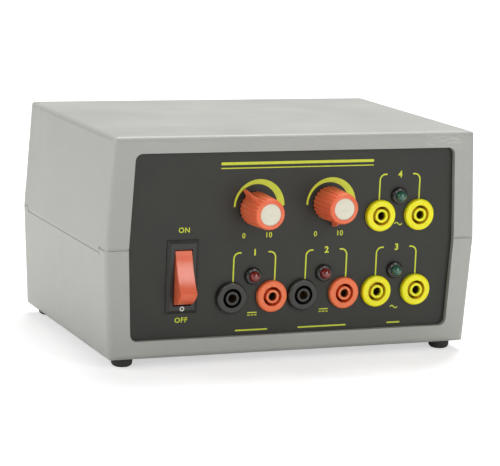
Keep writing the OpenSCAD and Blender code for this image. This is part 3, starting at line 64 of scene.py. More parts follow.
size_mm = [round((high - low) / MM, 1) for low, high in zip(cad_low, cad_high)]
print("CAD nodes:", len(nodes), "box in mm:", size_mm)

# %% [markdown]
# ## The camera
#
# The photograph was taken with a long lens from the left, a little above the case. A long lens keeps
# edges that run away from us nearly parallel. The place and the angles below were found by lining up
# the case's corners, and the lens is given by how many pixels wide one radian looks in the middle of
# the frame. The place is measured from the middle of the case's underside at its front rim. Three
# angles turn the camera: heading round the upright axis, tilt down, and a small roll.

# %% Place the camera
PHOTO_WIDTH = 500
PIXELS_PER_RADIAN = 2223.6
CAMERA_FROM_RIM = Vector((-408.15, -901.55, 236.84)) * MM
HEADING = math.radians(23.132)
TILT = math.radians(10.467)
ROLL = math.radians(2.372)


def camera_turn(heading, tilt, roll):
    """The camera's axes as columns: right, up and backwards."""
    forward = Vector((math.sin(heading) * math.cos(tilt), math.cos(heading) * math.cos(tilt),
                      -math.sin(tilt)))
    level = Vector((math.cos(heading), -math.sin(heading), 0))
    upright = level.cross(forward)
    right = level * math.cos(roll) + upright * math.sin(roll)
    up = upright * math.cos(roll) - level * math.sin(roll)
    return Matrix((right, up, -forward)).transposed()


camera_data = bpy.data.cameras.new("photo_camera")
camera_data.sensor_width = 36
camera_data.lens = PIXELS_PER_RADIAN / PHOTO_WIDTH * camera_data.sensor_width
camera_data.clip_start = 0.05
camera = bpy.data.objects.new("photo_camera", camera_data)
rim_middle = Vector((0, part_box("upper_shell")[0].y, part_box("lower_shell")[0].z))
camera_place = Matrix.Translation(rim_middle + CAMERA_FROM_RIM)
camera.matrix_world = camera_place @ camera_turn(HEADING, TILT, ROLL).to_4x4()
bpy.context.scene.collection.objects.link(camera)
bpy.context.scene.camera = camera
print("lens in mm:", round(camera_data.lens, 1))

# %% [markdown]
# ## Colours and nodes
#
# A material in Blender is a small network of nodes. Two helpers keep the lesson short. One turns the
# hex colours that we read off a picture into the linear values that a renderer works with. The other
# adds one node with its settings: a plain value is set on the socket or on the node, and the output
# of another node is linked to it.

# %% Helpers for materials
def linear(hex_colour):
    """An sRGB hex colour as a linear RGBA tuple."""
    values = []
    for start in (1, 3, 5):
        share = int(hex_colour[start:start + 2], 16) / 255
        values.append(share / 12.92 if share <= 0.04045 else ((share + 0.055) / 1.055) ** 2.4)
    return (*values, 1.0)


def put(tree, kind, settings):
    """Adds one node. Each setting is a value or another node's output, under a socket's name or
    number or under the name of a property of the node."""
    node = tree.nodes.new("ShaderNode" + kind)
    for name, value in settings.items():
        if isinstance(name, str) and name not in node.inputs:
            setattr(node, name, value)
            continue
        socket = node.inputs[name]
        if isinstance(value, bpy.types.NodeSocket):
            tree.links.new(value, socket)
        else:
            socket.default_value = value
    return node


def start_material(name, **shader):
    """A new material with one Principled shader. Returns the material, its tree, the shader and the
    object's own coordinates in metres."""
    material = bpy.data.materials.new(name)
    material.use_nodes = True
    tree = material.node_tree
    principled = tree.nodes["Principled BSDF"]
    for socket, value in shader.items():
        principled.inputs[socket.replace("_", " ")].default_value = value
    place = tree.nodes.new("ShaderNodeTexCoord").outputs["Object"]
    return material, tree, principled, place


def per_mm(size):
    """The scale of a pattern whose cells are about this many millimetres wide."""
    return 1 / (size * MM)


def between(tree, amount, low, high):
    """A colour that runs from low to high as amount runs from 0 to 1."""
    return put(tree, "MixRGB", {"Fac": amount, "Color1": low, "Color2": high}).outputs["Color"]


def window(tree, value, start, end, low=0.0, high=1.0):
    """Stretches the part of a value between start and end to low and high, and holds it outside."""
    return put(tree, "MapRange", {"Value": value, "From Min": start, "From Max": end,
                                  "To Min": low, "To Max": high}).outputs["Result"]


def noise(tree, place, size, detail=2.0, rough=0.5):
    """Cloudy noise with blobs about this many millimetres wide."""
    return put(tree, "TexNoise", {"Vector": place, "Scale": per_mm(size), "Detail": detail,
                                  "Roughness": rough}).outputs["Fac"]


def soft_edges(tree, principled, radius):
    """Lets sharp edges catch the light as if they were rounded by this many millimetres."""
    edge = put(tree, "Bevel", {"samples": 4, "Radius": radius * MM})
    tree.links.new(edge.outputs["Normal"], principled.inputs["Normal"])


def bump(tree, principled, height, depth, strength=1.0):
    """Links a height pattern, this many millimetres deep, to the shader's normal. Bumps add up."""
    settings = {"Height": height, "Distance": depth * MM, "Strength": strength}
    if principled.inputs["Normal"].is_linked:
        settings["Normal"] = principled.inputs["Normal"].links[0].from_socket
    tree.links.new(put(tree, "Bump", settings).outputs["Normal"], principled.inputs["Normal"])


from_cad = len(bpy.data.materials)
print("materials that came with the CAD model:", from_cad)

# %% [markdown]
# ## The case: moulded ABS
#
# The two case halves are injection-moulded ABS, a tough matt plastic. The steel mould was spark
# eroded, so the surface has a fine even grain that spreads highlights, and where the melt flowed
# there are faint long streaks. The middle of the top has a small round mark where the melt came in.
# The front rim has a few scuffs from handling. Grain of a quarter of a millimetre is too fine for
# this view, so it is drawn about twice as coarse as it is.

# %% Case material
# Places of the scuffs in mm, how wide one is at full strength and where it has faded out.
SCUFFS = ((66.7, -56.6, 100.3), (72.9, -56.6, 100.6), (79.1, -56.6, 100.1), (-86.0, -40.0, 26.0))
SCUFF_CORE, SCUFF_REACH = 1.5 * MM, 5 * MM
# The mark where the melt came in: its place on the top, its size and how many radians of ripple it has.
GATE = (2 * MM, 4 * MM, cad_high.z)
GATE_CORE, GATE_REACH, GATE_RIPPLE = 3 * MM, 9 * MM, 14


def moulded_abs():
    material, tree, shader, place = start_material("case_moulded_abs", Roughness=0.5, IOR=1.53)
    soft_edges(tree, shader, 0.4)
    streak_space = put(tree, "Mapping", {"Vector": place, "Scale": (0.25, 1.6, 1.6)}).outputs["Vector"]
    streaks = window(tree, noise(tree, streak_space, 14, 4.0, 0.6), 0.3, 0.7)
    clouds = window(tree, noise(tree, place, 32, 3.0), 0.3, 0.7)
    warm = between(tree, streaks, linear("#A7A8A2"), linear("#ACADA7"))
    cool = between(tree, clouds, linear("#A5A6A1"), warm)
    specks = window(tree, noise(tree, place, 1.1, 3.0, 0.7), 0.73, 0.78)
    marked = between(tree, specks, cool, linear("#8E8E87"))
    scuffed = marked
    for spot in SCUFFS:
        away = put(tree, "VectorMath", {"operation": "DISTANCE", 0: place,
                                        1: tuple(value * MM for value in spot)}).outputs["Value"]
        near = window(tree, away, SCUFF_REACH, SCUFF_CORE)
        scratch = window(tree, noise(tree, streak_space, 1.6, 4.0, 0.8), 0.52, 0.62)
        amount = put(tree, "Math", {"operation": "MULTIPLY", 0: near, 1: scratch}).outputs["Value"]
        scuffed = between(tree, amount, scuffed, linear("#BABBB5"))
    tree.links.new(scuffed, shader.inputs["Base Color"])
    tree.links.new(window(tree, clouds, 0, 1, 0.46, 0.56), shader.inputs["Roughness"])
    grain = noise(tree, place, 0.5, 2.0)
    bump(tree, shader, grain, 0.03, 0.5)
    gate = put(tree, "VectorMath", {"operation": "DISTANCE", 0: place, 1: GATE}).outputs["Value"]
    swirl = put(tree, "Math", {"operation": "SINE", 0: window(tree, gate, 0, GATE_REACH, 0, GATE_RIPPLE)})
    ring = put(tree, "Math", {"operation": "MULTIPLY", 0: swirl.outputs["Value"],
                              1: window(tree, gate, GATE_REACH, GATE_CORE)}).outputs["Value"]
    bump(tree, shader, ring, 0.05, 0.6)
    bump(tree, shader, streaks, 0.04, 0.4)
    return material


case_abs = moulded_abs()
print("case material:", case_abs.name, "with", len(SCUFFS), "scuffs")

# %% [markdown]
# ## The other plastics
#
# The panels are black plastic sheet with a satin face. The switch housing, the lamp bezels and two
# sockets are smooth black plastic, the sockets and the switch rocker are glossy coloured nylon, and
# the dial knobs are a matt moulding. The coloured ones are a little milky: light that enters a thin
# wall spreads and leaves it nearby, which lifts the shade in the sockets' grooves. There the light
# also bounces from wall to wall and takes on more of the colour. That bounce light is painted into
# the sockets' base colour as a deeper colour, a painted bounce light. Ambient occlusion tells how
# much of a point's surroundings is hidden, so it says where to mix that painted light in. The
# plastics differ in colour, in milkiness and in how sharp their highlights are, so one function
# makes them all.

# %% Plastics
EDGE_RADIUS = 0.25
MILKY = {"Subsurface_Weight": 0.35, "Subsurface_Scale": 0.003}
# The painted bounce light of a groove is looked for this far round a point. Its painted colour is
# full where the first share of the surroundings is open, and gone at the second.
GROOVE_WIDTH, GROOVE_SHUT, GROOVE_OPEN = 3 * MM, 0.15, 0.6


def moulded(name, colour, shade, roughness, grain_mm=0.5, grain_depth=0.01, cloud_mm=9.0, painted_bounce_colour=None,
            **extra):
    """A moulded plastic: two near shades in soft clouds, a fine grain and, where a narrow groove keeps
    the light bouncing between its walls, a painted bounce light: a deeper colour mixed into the base
    colour."""
    material, tree, shader, place = start_material(name, Roughness=roughness, IOR=1.5, **extra)
    soft_edges(tree, shader, EDGE_RADIUS)
    clouds = window(tree, noise(tree, place, cloud_mm, 3.0), 0.3, 0.7)
    colours = between(tree, clouds, linear(colour), linear(shade))
    # Painted bounce light: where much of a point's surroundings is hidden, the base colour is mixed towards
    # a deeper colour that stands in for light bounced between the groove walls.
    if painted_bounce_colour:
        open_share = put(tree, "AmbientOcclusion", {"samples": 8, "Distance": GROOVE_WIDTH}).outputs["AO"]
        shown = window(tree, open_share, GROOVE_SHUT, GROOVE_OPEN)
        colours = between(tree, shown, linear(painted_bounce_colour), colours)
    tree.links.new(colours, shader.inputs["Base Color"])
    tree.links.new(window(tree, clouds, 0, 1, roughness * 0.92, roughness * 1.08),
                   shader.inputs["Roughness"])
    bump(tree, shader, noise(tree, place, grain_mm, 2.0), grain_depth, 0.5)
    return material


def panel_sheet():
    material, tree, shader, place = start_material("panel_black_sheet", Roughness=0.42, IOR=1.49,
                                                   Specular_IOR_Level=0.35)
    clouds = window(tree, noise(tree, place, 24, 4.0, 0.6), 0.32, 0.68)
    dust = window(tree, noise(tree, place, 0.7, 2.0, 0.8), 0.74, 0.8)
    sheet = between(tree, clouds, linear("#2B2C27"), linear("#32332D"))
    tree.links.new(between(tree, dust, sheet, linear("#4E4F48")), shader.inputs["Base Color"])
    tree.links.new(window(tree, clouds, 0, 1, 0.38, 0.48), shader.inputs["Roughness"])
    bump(tree, shader, noise(tree, place, 0.6, 3.0), 0.012, 0.5)
    return material


panel_black = panel_sheet()
satin_black = moulded("housing_black_nylon", "#242422", "#2B2B28", 0.4)
gloss_black = moulded("bezel_gloss_black", "#1B1B19", "#232321", 0.14, grain_depth=0.004,
                      Specular_IOR_Level=0.7)
socket_black = moulded("socket_black_nylon", "#2A2A26", "#31312C", 0.22)
foot_rubber = moulded("foot_black_rubber", "#2A2A27", "#363633", 0.75, 0.7, 0.03)
rocker_red = moulded("rocker_red_nylon", "#E66A46", "#EA7250", 0.2, **MILKY)
# The deeper groove colours of the red and yellow sockets are painted bounce light.
socket_red = moulded("socket_red_nylon", "#F0743F", "#F37C4A", 0.25, painted_bounce_colour="#F8703A", **MILKY)
socket_yellow = moulded("socket_yellow_nylon", "#F6EE00", "#F2E908", 0.22, painted_bounce_colour="#FCD24A", **MILKY)
knob_orange = moulded("knob_orange_abs", "#EE6E46", "#F27A52", 0.42, 0.45, 0.015, **MILKY)
cap_cream = moulded("cap_cream_abs", "#DDD9C4", "#E3DFCC", 0.4)
bobbin_ivory = moulded("bobbin_ivory_nylon", "#DCD4B8", "#E4DDC4", 0.45)
pot_phenolic = moulded("dial_pot_phenolic", "#2A2722", "#38332C", 0.5)
sleeve_blue = moulded("capacitor_sleeve_pvc", "#20304F", "#263A60", 0.25)
package_epoxy = moulded("package_black_epoxy", "#1E1E1F", "#28282A", 0.6)
brown_pvc = moulded("mains_wire_brown_pvc", "#6A4526", "#75502E", 0.35)
blue_pvc = moulded("thin_wire_blue_pvc", "#2C4388", "#344E98", 0.35)
winding_tape = moulded("winding_polyester_tape", "#C79A2E", "#B78A22", 0.3, 3.0, 0.05)
print("plastics made, the case's included:", len(bpy.data.materials) - from_cad)

# %% [markdown]
# ## Lamps, metals and the rest
#
# The lamps are 5 mm light-emitting diodes, off, cast in tinted epoxy. It is so dark that hardly any
# light comes back through it, and its smooth skin mirrors the lamps of the studio, so a clear coat
# does more for it than glass would. The metals start from pure metallic shading. Brass contacts are
# nickel plated and have dulled, the screws are zinc-plated steel, and the transformer's sheets are
# varnished steel.

# %% Lamp epoxy
def tinted_epoxy(name, dark, light):
    material, tree, shader, place = start_material(name, Roughness=0.06, IOR=1.54,
                                                   Transmission_Weight=0.05, Coat_Weight=1.0,
                                                   Coat_Roughness=0.03)
    clouds = window(tree, noise(tree, place, 6, 1.0), 0.35, 0.65)
    tree.links.new(between(tree, clouds, linear(dark), linear(light)), shader.inputs["Base Color"])
    return material


lamp_red = tinted_epoxy("lamp_red_epoxy", "#6E120C", "#8A1C12")
lamp_green = tinted_epoxy("lamp_green_epoxy", "#0E4434", "#165A44")
print("lamp materials:", lamp_red.name, lamp_green.name)


# %% Metals
def metal(name, colour, shade, roughness, mark_mm=1.5, mark_depth=0.01, **extra):
    """A metal with faint tool marks and patches of tarnish."""
    material, tree, shader, place = start_material(name, Metallic=1.0, Roughness=roughness, **extra)
    tarnish = window(tree, noise(tree, place, 4, 4.0, 0.6), 0.35, 0.7)
    tree.links.new(between(tree, tarnish, linear(colour), linear(shade)), shader.inputs["Base Color"])
    tree.links.new(window(tree, tarnish, 0, 1, roughness * 0.85, roughness * 1.3),
                   shader.inputs["Roughness"])
    bump(tree, shader, noise(tree, place, mark_mm, 3.0), mark_depth, 0.4)
    return material


def laminated_steel():
    """Varnished transformer sheets half a millimetre thick, stacked from front to back."""
    material, tree, shader, place = start_material("core_laminated_steel", Metallic=0.8, Roughness=0.45)
    sheets = put(tree, "TexWave", {"Vector": place, "bands_direction": "Y", "Scale": per_mm(0.5) / 20,
                                   "Distortion": 0.4, "Detail": 1.0}).outputs["Fac"]
    tree.links.new(between(tree, sheets, linear("#3E3F40"), linear("#6A6B6B")), shader.inputs["Base Color"])
    bump(tree, shader, sheets, 0.1, 0.6)
    return material


def circuit_laminate():
    """Glass-fibre board under green solder mask: a fine weave and shadows of copper tracks."""
    material, tree, shader, place = start_material("board_green_laminate", Roughness=0.3, IOR=1.5)
    tracks = put(tree, "TexBrick", {"Vector": place, "Scale": per_mm(9), "Color1": linear("#1D5B35"),
                                    "Color2": linear("#236B3E"), "Mortar": linear("#17492B")})
    tree.links.new(tracks.outputs["Color"], shader.inputs["Base Color"])
    bump(tree, shader, noise(tree, place, 0.4, 2.0), 0.02, 0.4)
    return material


def fuse_glass():
    material, tree, shader, place = start_material("fuse_tube_glass", Roughness=0.02, IOR=1.52,
                                                   Transmission_Weight=1.0)
    tint = between(tree, noise(tree, place, 3), linear("#EEF4F2"), linear("#FAFCFB"))
    tree.links.new(tint, shader.inputs["Base Color"])
    return material


contact_metal = metal("contact_plated_brass", "#B9A074", "#9C855C", 0.45)
collet_brass = metal("collet_brass", "#C6A152", "#A8843C", 0.3)
zinc_steel = metal("zinc_plated_steel", "#B9BBBC", "#9FA1A2", 0.3)
contact_copper = metal("contact_bare_copper", "#C07848", "#99562F", 0.35)
sink_anodised = metal("sink_black_anodised", "#2A2B2D", "#222324", 0.45)
print("materials made so far:", len(bpy.data.materials) - from_cad)

# %% [markdown]
# ## Finish every CAD node
#
# Each CAD node gets the material of the real piece. Its shape is never touched: the exact model already
# has the right roundings, and the thin line of light along the other edges comes from the plastics.

# %% Give each node its material
finishes = {
    case_abs: ["upper_shell", "lower_shell"],
    foot_rubber: ["rubber_feet"],
    panel_black: ["front_panel", "rear_panel"],
    satin_black: ["switch_housing", "mains_inlet", "fuse_holder", "fuse_nut", "fuse_cap", "socket_nuts"],
    gloss_black: ["lamp_bezels"],
    socket_black: ["socket_black_1", "socket_black_2"],
    rocker_red: ["switch_rocker"],
    socket_red: ["socket_red_1", "socket_red_2"],
    socket_yellow: [f"socket_yellow_{number}" for number in (1, 2, 3, 4)],
    knob_orange: ["knob_left", "knob_right"],
    cap_cream: ["knob_cap_left", "knob_cap_right"],
    lamp_red: ["lamp_red_1", "lamp_red_2"],
    lamp_green: ["lamp_green_lower", "lamp_green_upper"],
    contact_metal: ["socket_contacts", "inlet_pins"],
    collet_brass: ["collet_left", "collet_right"],
    zinc_steel: ["case_screws", "dial_nuts", "dial_shaft_left", "dial_shaft_right", "dial_terminals",
                 "switch_plunger", "switch_terminals", "lamp_leads", "inlet_screws", "fuse_ends",
                 "fuse_terminals", "inner_screws", "transformer_frame"],
    contact_copper: ["switch_contact"],
    pot_phenolic: ["dial_pot_left", "dial_pot_right"],
    fuse_glass(): ["fuse_glass"],
    laminated_steel(): ["transformer_core"],
    bobbin_ivory: ["transformer_bobbin"],
    winding_tape: ["transformer_windings"],
    circuit_laminate(): ["circuit_board"],
    sleeve_blue: ["capacitors"],
    package_epoxy: ["rectifiers", "regulators"],
    sink_anodised: ["heat_sink"],
    brown_pvc: ["mains_wires"],
    blue_pvc: ["low_voltage_wires"],
}
finished = set()
for finish, names in finishes.items():
    for name in names:
        mesh = nodes[name].data
        mesh.materials.clear()
        mesh.materials.append(finish)
        finished.add(name)
print("nodes left without a finish:", sorted(set(nodes) - finished))

# %% [markdown]
# ## The printed marks
#
# The yellow-green marks on the panel are screen printed: a layer of ink a tenth of a millimetre thick
# that stands just proud of the sheet. They could be painted by a texture, but real thin plates keep
# their edges crisp at any distance. A mark is an outline in the panel's own X and Z, in millimetres,
# that is filled and given the ink's thickness.

# %% Ink and white filling
PANEL_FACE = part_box("front_panel")[0].y
FOOT_HEIGHT = 4.0
INK_THICKNESS = 0.12
ink = moulded("print_green_yellow_ink", "#D3DC38", "#CBD534", 0.5, 0.3, 0.01, 2.0)
white_fill = moulded("mark_white_fill", "#D9D9D2", "#E4E4DE", 0.5, 0.3, 0.01, 2.0)
OVERLAP = 0.02
print("panel face at y in mm:", round(PANEL_FACE / MM, 2))


def plate(name, outline, face_y, finish, thickness=INK_THICKNESS):
    """A thin plate on an upright face, sunk into it by the overlap so that no gap can show. The outline
    is a list of (x, z) in mm, with z above the case's underside."""
    front, back = face_y - thickness * MM, face_y + OVERLAP * MM
    count = len(outline)
    corners = [Vector((x * MM, y, (z + FOOT_HEIGHT) * MM)) for y in (front, back) for x, z in outline]
    faces = [tuple(range(count)), tuple(range(2 * count - 1, count - 1, -1))]
    for start in range(count):
        end = (start + 1) % count
        faces.append((start, start + count, end + count, end))
    mesh = bpy.data.meshes.new(name)
    mesh.from_pydata(corners, [], faces)
    mesh.materials.append(finish)
    mesh.update()
    piece = bpy.data.objects.new(name, mesh)
    bpy.context.scene.collection.objects.link(piece)
    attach(piece, "root")


def arc(centre, radius, start, end, steps=24):
    """Points on a circle, angles in degrees from the right, anticlockwise."""
    points = []
    for step in range(steps + 1):
        angle = math.radians(start + (end - start) * step / steps)
        points.append((centre[0] + radius * math.cos(angle), centre[1] + radius * math.sin(angle)))
    return points


def band(path, width):
    """The outline of a line of this width drawn along a path."""
    left, right = [], []
    for index, point in enumerate(path):
        before, after = path[max(index - 1, 0)], path[min(index + 1, len(path) - 1)]
        along = Vector((after[0] - before[0], after[1] - before[1])).normalized()
        side = Vector((-along.y, along.x)) * width / 2
        left.append((point[0] + side.x, point[1] + side.y))
        right.append((point[0] - side.x, point[1] - side.y))
    return left + right[::-1]


# %% [markdown]
# ### Crescents round the dials
#
# Round each dial the print swells from a hair line on the left to a broad end on the right, which
# says "more this way". The shape lies between two circles of unlike size, the outer one set a little
# to the right, and both are cut level.

# %% Print the crescents
INNER_CENTRE, INNER_RADIUS = (-19.3, 67.3), 10.2
OUTER_CENTRE, OUTER_RADIUS = (-18.05, 67.35), 12.35
CRESCENT_STEP = 35.6
for number, side in enumerate(("left", "right")):
    move = number * CRESCENT_STEP
    outer = arc((OUTER_CENTRE[0] + move, OUTER_CENTRE[1]), OUTER_RADIUS, 0, 180, 48)
    inner = arc((INNER_CENTRE[0] + move, INNER_CENTRE[1]), INNER_RADIUS, 180, 0, 48)
    plate(f"print_crescent_{side}", outer + inner, PANEL_FACE, ink)

# %% [markdown]
# ### Brackets over the socket pairs
#
# A bracket joins the two sockets of a pair. Its legs rise, turn through a small corner and run towards
# each other, and a gap in the middle leaves room for a number. Each half is one line drawn along a
# path, so the left half is the right half mirrored.

# %% Print the brackets
LINE = 0.7
LEG = 10.2
CORNER = 2.7
GAP = 6.6
# For each pair's number: the pair's middle, where the legs end and where the line across runs.
PAIRS = {1: (-19.1, 33.0, 46.3), 2: (16.45, 33.0, 46.3), 3: (52.05, 33.0, 46.3), 4: (52.05, 68.5, 80.4)}


def bracket(name, centre, low, high):
    """The two halves of a bracket over a pair of sockets."""
    for side, sign in (("left", -1), ("right", 1)):
        turn = arc((LEG - CORNER, high - CORNER), CORNER, 0, 90, 10)
        path = [(LEG, low), *turn, (GAP, high)]
        path = [(centre + sign * x, z) for x, z in path]
        plate(f"{name}_{side}", band(path, LINE), PANEL_FACE, ink)


for number, (centre, low, high) in PAIRS.items():
    bracket(f"print_bracket_{number}", centre, low, high)
print("bracket halves:", 2 * len(PAIRS))

# %% [markdown]
# ### Numbers and signs
#
# The panel says ON and OFF at the switch and carries plain numbers. Blender's own font does for these:
# a text curve is given the ink's thickness, made a little bolder with its offset, and turned into a
# mesh. The signs for direct and alternating current are drawn as lines.

# %% Print the words and numbers
LETTER_HEIGHT, LETTER_WEIGHT = 2.4, 0.03
NUMBER_HEIGHT, NUMBER_WEIGHT = 3.0, 0.05
# Height of a capital as a share of the font's size, and how far apart the letters are set.
CAPITAL_SHARE, LETTER_SPACING = 0.73, 1.12
# How far the 0 and the 10 of a dial stand from their middle.
DIAL_NUMBER_OUT = 6.2


def words(name, text, x, z, height=LETTER_HEIGHT, weight=LETTER_WEIGHT):
    """Flat lettering with its middle at (x, z) in mm, with z above the case's underside."""
    curve = bpy.data.curves.new(name, "FONT")
    curve.body = text
    curve.align_x, curve.align_y = "CENTER", "CENTER"
    curve.size = height * MM / CAPITAL_SHARE
    curve.offset = weight * height * MM
    curve.space_character = LETTER_SPACING
    curve.extrude = INK_THICKNESS / 2 * MM
    curve.resolution_u = 6
    writing = bpy.data.objects.new(name + "_curve", curve)
    bpy.context.scene.collection.objects.link(writing)
    bpy.context.view_layer.update()
    mesh = bpy.data.meshes.new_from_object(writing.evaluated_get(bpy.context.evaluated_depsgraph_get()))
    bpy.data.objects.remove(writing)
    flat = Vector(((min(v.co.x for v in mesh.vertices) + max(v.co.x for v in mesh.vertices)) / 2,
                   (min(v.co.y for v in mesh.vertices) + max(v.co.y for v in mesh.vertices)) / 2, 0))
    stand = Matrix.Translation(Vector((x * MM, PANEL_FACE - INK_THICKNESS / 2 * MM,
                                       (z + FOOT_HEIGHT) * MM)))
    mesh.transform(stand @ Matrix.Rotation(math.radians(90), 4, "X") @ Matrix.Translation(-flat))
    mesh.materials.clear()
    mesh.materials.append(ink)
    mesh.name = name
    piece = bpy.data.objects.new(name, mesh)
    bpy.context.scene.collection.objects.link(piece)
    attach(piece, "root")


words("print_on", "ON", -53.7, 57.6)
words("print_off", "OFF", -53.8, 16.7)
for side, x, z in (("left", -18.7, 54.1), ("right", 16.6, 53.8)):
    words(f"print_dial_{side}_low", "0", x - DIAL_NUMBER_OUT, z)
    words(f"print_dial_{side}_high", "10", x + DIAL_NUMBER_OUT, z)
for number, (centre, _, high) in PAIRS.items():
    words(f"print_number_{number}", str(number), centre, high, NUMBER_HEIGHT, NUMBER_WEIGHT)

# %% Print the current signs
WAVES = ((52.2, 57.2), (52.1, 17.9))
STEADY = ((-19.4, 17.9), (16.15, 17.95))
SIGN_LINE = 0.5
WAVE_WIDTH, WAVE_HEIGHT, WAVE_STEPS = 3.8, 0.6, 16
STEADY_HALF, STEADY_UP = 2.3, 0.6
DASH_HALF, DASH_DOWN, DASH_PITCH = 0.6, 0.55, 1.7


def level_line(name, x, half, z):
    """A short level line of a sign, with its middle at (x, z)."""
    plate(name, band([(x - half, z), (x + half, z)], SIGN_LINE), PANEL_FACE, ink)


for number, (x, z) in enumerate(WAVES, 1):
    wave = [(x + WAVE_WIDTH * (step / WAVE_STEPS - 0.5),
             z + WAVE_HEIGHT * math.sin(step / WAVE_STEPS * math.tau)) for step in range(WAVE_STEPS + 1)]
    plate(f"print_wave_{number}", band(wave, SIGN_LINE), PANEL_FACE, ink)
for number, (x, z) in enumerate(STEADY, 1):
    level_line(f"print_steady_{number}_line", x, STEADY_HALF, z + STEADY_UP)
    for dash in (-1, 0, 1):
        level_line(f"print_steady_{number}_dash_{dash + 2}", x + dash * DASH_PITCH, DASH_HALF,
                   z - DASH_DOWN)
print("current signs:", len(WAVES) + len(STEADY))

# %% [markdown]
# ### Plain rules
#
# Along the top of the panel and under each group of sockets the print has a plain rule with round
# ends. It sets the groups apart and says nothing.

# %% Print the rules
TITLE_START, TITLE_END = -37.2, 38.3
LOW_RULE = 10.5


def rule(name, x_start, x_end, z, width):
    """A level rule with round ends."""
    half = width / 2
    outline = arc((x_end - half, z), half, -90, 90, 8) + arc((x_start + half, z), half, 90, 270, 8)
    plate(name, outline, PANEL_FACE, ink)


rule("print_rule_top", TITLE_START, TITLE_END, 87.0, 1.3)
rule("print_rule_top_thin", TITLE_START, TITLE_END, 84.9, 0.5)
rule("print_rule_1", -27.5, -11.5, LOW_RULE, LINE)
rule("print_rule_2", 3.5, 28.0, LOW_RULE, LINE)
rule("print_rule_3", 48.9, 55.7, LOW_RULE, LINE)

# %% [markdown]
# ### The ring on the switch
#
# The lower end of the switch bezel carries a small white ring, pressed in and filled with paint.

# %% Mark the bezel
BEZEL_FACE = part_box("switch_housing")[0].y
RING_CENTRE, RING_RADIUS = (-54.06, 22.1), 1.1
RING_STROKE, RING_THICKNESS, RING_STEPS = 0.5, 0.06, 40
# The outline goes once round the outside and back round the inside. It stops just short of a full
# turn, so that its two ends don't coincide.
RING_START, RING_END = 90, 449.9
outside = arc(RING_CENTRE, RING_RADIUS, RING_START, RING_END, RING_STEPS)
inside = arc(RING_CENTRE, RING_RADIUS - RING_STROKE, RING_END, RING_START, RING_STEPS)
plate("bezel_off_ring", outside + inside, BEZEL_FACE, white_fill, RING_THICKNESS)
print("ring across in mm:", 2 * RING_RADIUS)

# %% [markdown]
# ## Floor, backdrop and light
#
# The photograph is a product shot on white. A large pale floor catches a soft shadow. The camera, and
# nothing else, sees it a little darker and glowing, and the glow grows with the distance from the
# object. So the floor burns out to plain white far off and keeps its shadow near the case, and no more
# light falls on the object. The world looks white to the camera but shines weakly, so the lamps are
# what shapes the object.

# %% Floor and world
FLOOR_SIZE = 12
FLOOR_SEEN = "#CFCFCF"
# Strength of the glow next to the object and far off, and where each is reached, in metres.
GLOW_NEAR, GLOW_FAR = 0.55, 0.97
GLOW_START, GLOW_END = 0.6, 2.2
# Brightness of the world as a light. The camera sees it at 1.
AMBIENT = 0.2


def floor_paint():
    material, tree, shader, place = start_material("floor_paper", Roughness=0.9)
    paper = between(tree, noise(tree, place, 60), linear("#F6F6F6"), linear("#FAFAFA"))
    seen = put(tree, "LightPath", {}).outputs["Is Camera Ray"]
    tree.links.new(between(tree, seen, paper, linear(FLOOR_SEEN)), shader.inputs["Base Color"])
    shader.inputs["Emission Color"].default_value = (1, 1, 1, 1)
    away = put(tree, "VectorMath", {"operation": "LENGTH", 0: place}).outputs["Value"]
    strength = window(tree, away, GLOW_START, GLOW_END, GLOW_NEAR, GLOW_FAR)
    glow = put(tree, "Math", {"operation": "MULTIPLY", 0: seen, 1: strength}).outputs["Value"]
    tree.links.new(glow, shader.inputs["Emission Strength"])
    return material


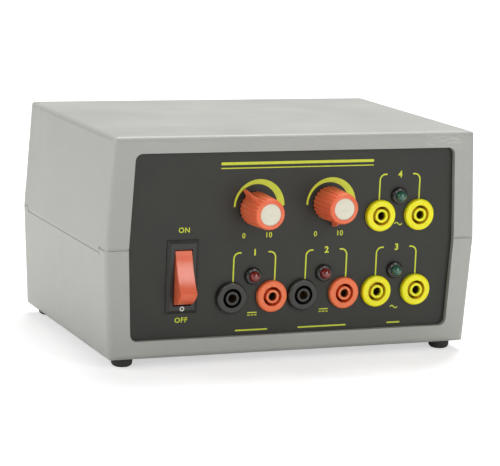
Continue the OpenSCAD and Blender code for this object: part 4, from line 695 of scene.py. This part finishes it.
bpy.ops.mesh.primitive_plane_add(size=FLOOR_SIZE, location=(0, 0, 0))
floor = bpy.context.object
floor.name = "studio_floor"
floor.data.materials.append(floor_paint())
floor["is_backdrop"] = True

world = bpy.data.worlds.new("studio")
bpy.context.scene.world = world
world.use_nodes = True
sky = world.node_tree
paths = put(sky, "LightPath", {})
seen = put(sky, "Math", {"operation": "MAXIMUM", 0: paths.outputs["Is Camera Ray"],
                         1: paths.outputs["Is Transmission Ray"]}).outputs["Value"]
level = put(sky, "MapRange", {"Value": seen, "To Min": AMBIENT, "To Max": 1.0}).outputs["Result"]
sky.links.new(level, sky.nodes["Background"].inputs["Strength"])
sky.nodes["Background"].inputs["Color"].default_value = (1, 1, 1, 1)
print("floor across in m:", FLOOR_SIZE, "world strength:", AMBIENT)

# %% [markdown]
# ### The studio lamps
#
# Large soft lamps stand above and at the left, because the top of the case is the lightest face, its
# left side comes next and its front is the darkest. Two weak ones in front light the panel and the
# lower rim. A window-shaped one on the right is mirrored in the rounded tops of the bezels and
# sockets, and a small one stands high behind the case on the right.

# %% Lamps
LAMP_AIM = Vector((0, 0, 0.05))


def soft_lamp(name, place, width, height, power):
    """An area lamp, in metres and watts, that looks at the middle of the case."""
    data = bpy.data.lights.new(name, "AREA")
    data.shape, data.size, data.size_y, data.energy = "RECTANGLE", width, height, power
    lamp = bpy.data.objects.new(name, data)
    lamp.location = place
    lamp.rotation_euler = (LAMP_AIM - Vector(place)).to_track_quat("-Z", "Y").to_euler()
    bpy.context.scene.collection.objects.link(lamp)


soft_lamp("lamp_above", (0.25, 0.45, 1.25), 0.65, 0.65, 15)
soft_lamp("lamp_left", (-1.3, 0.15, 0.5), 0.9, 0.9, 9.6)
soft_lamp("lamp_front", (-0.2, -1.35, 0.6), 0.4, 0.4, 2.2)
soft_lamp("lamp_low", (0.5, -1.3, 0.1), 0.8, 0.8, 4)
soft_lamp("lamp_window", (0.42, -0.95, 0.74), 0.3, 0.4, 2.4)
soft_lamp("lamp_sparkle", (0.55, 0.4, 1.2), 0.15, 0.15, 3)

# %% [markdown]
# ## Sizes and finish
#
# Plastic shot under even light needs no film curve, so colours go to the screen as they are. The box
# of the dressed object is printed, to set beside the CAD model's.

# %% Colour management, sizes and finish
bpy.context.scene.view_settings.view_transform = "Standard"
low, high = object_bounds()
print("visual box in mm:", [round((b - a) / MM, 1) for a, b in zip(low, high)])
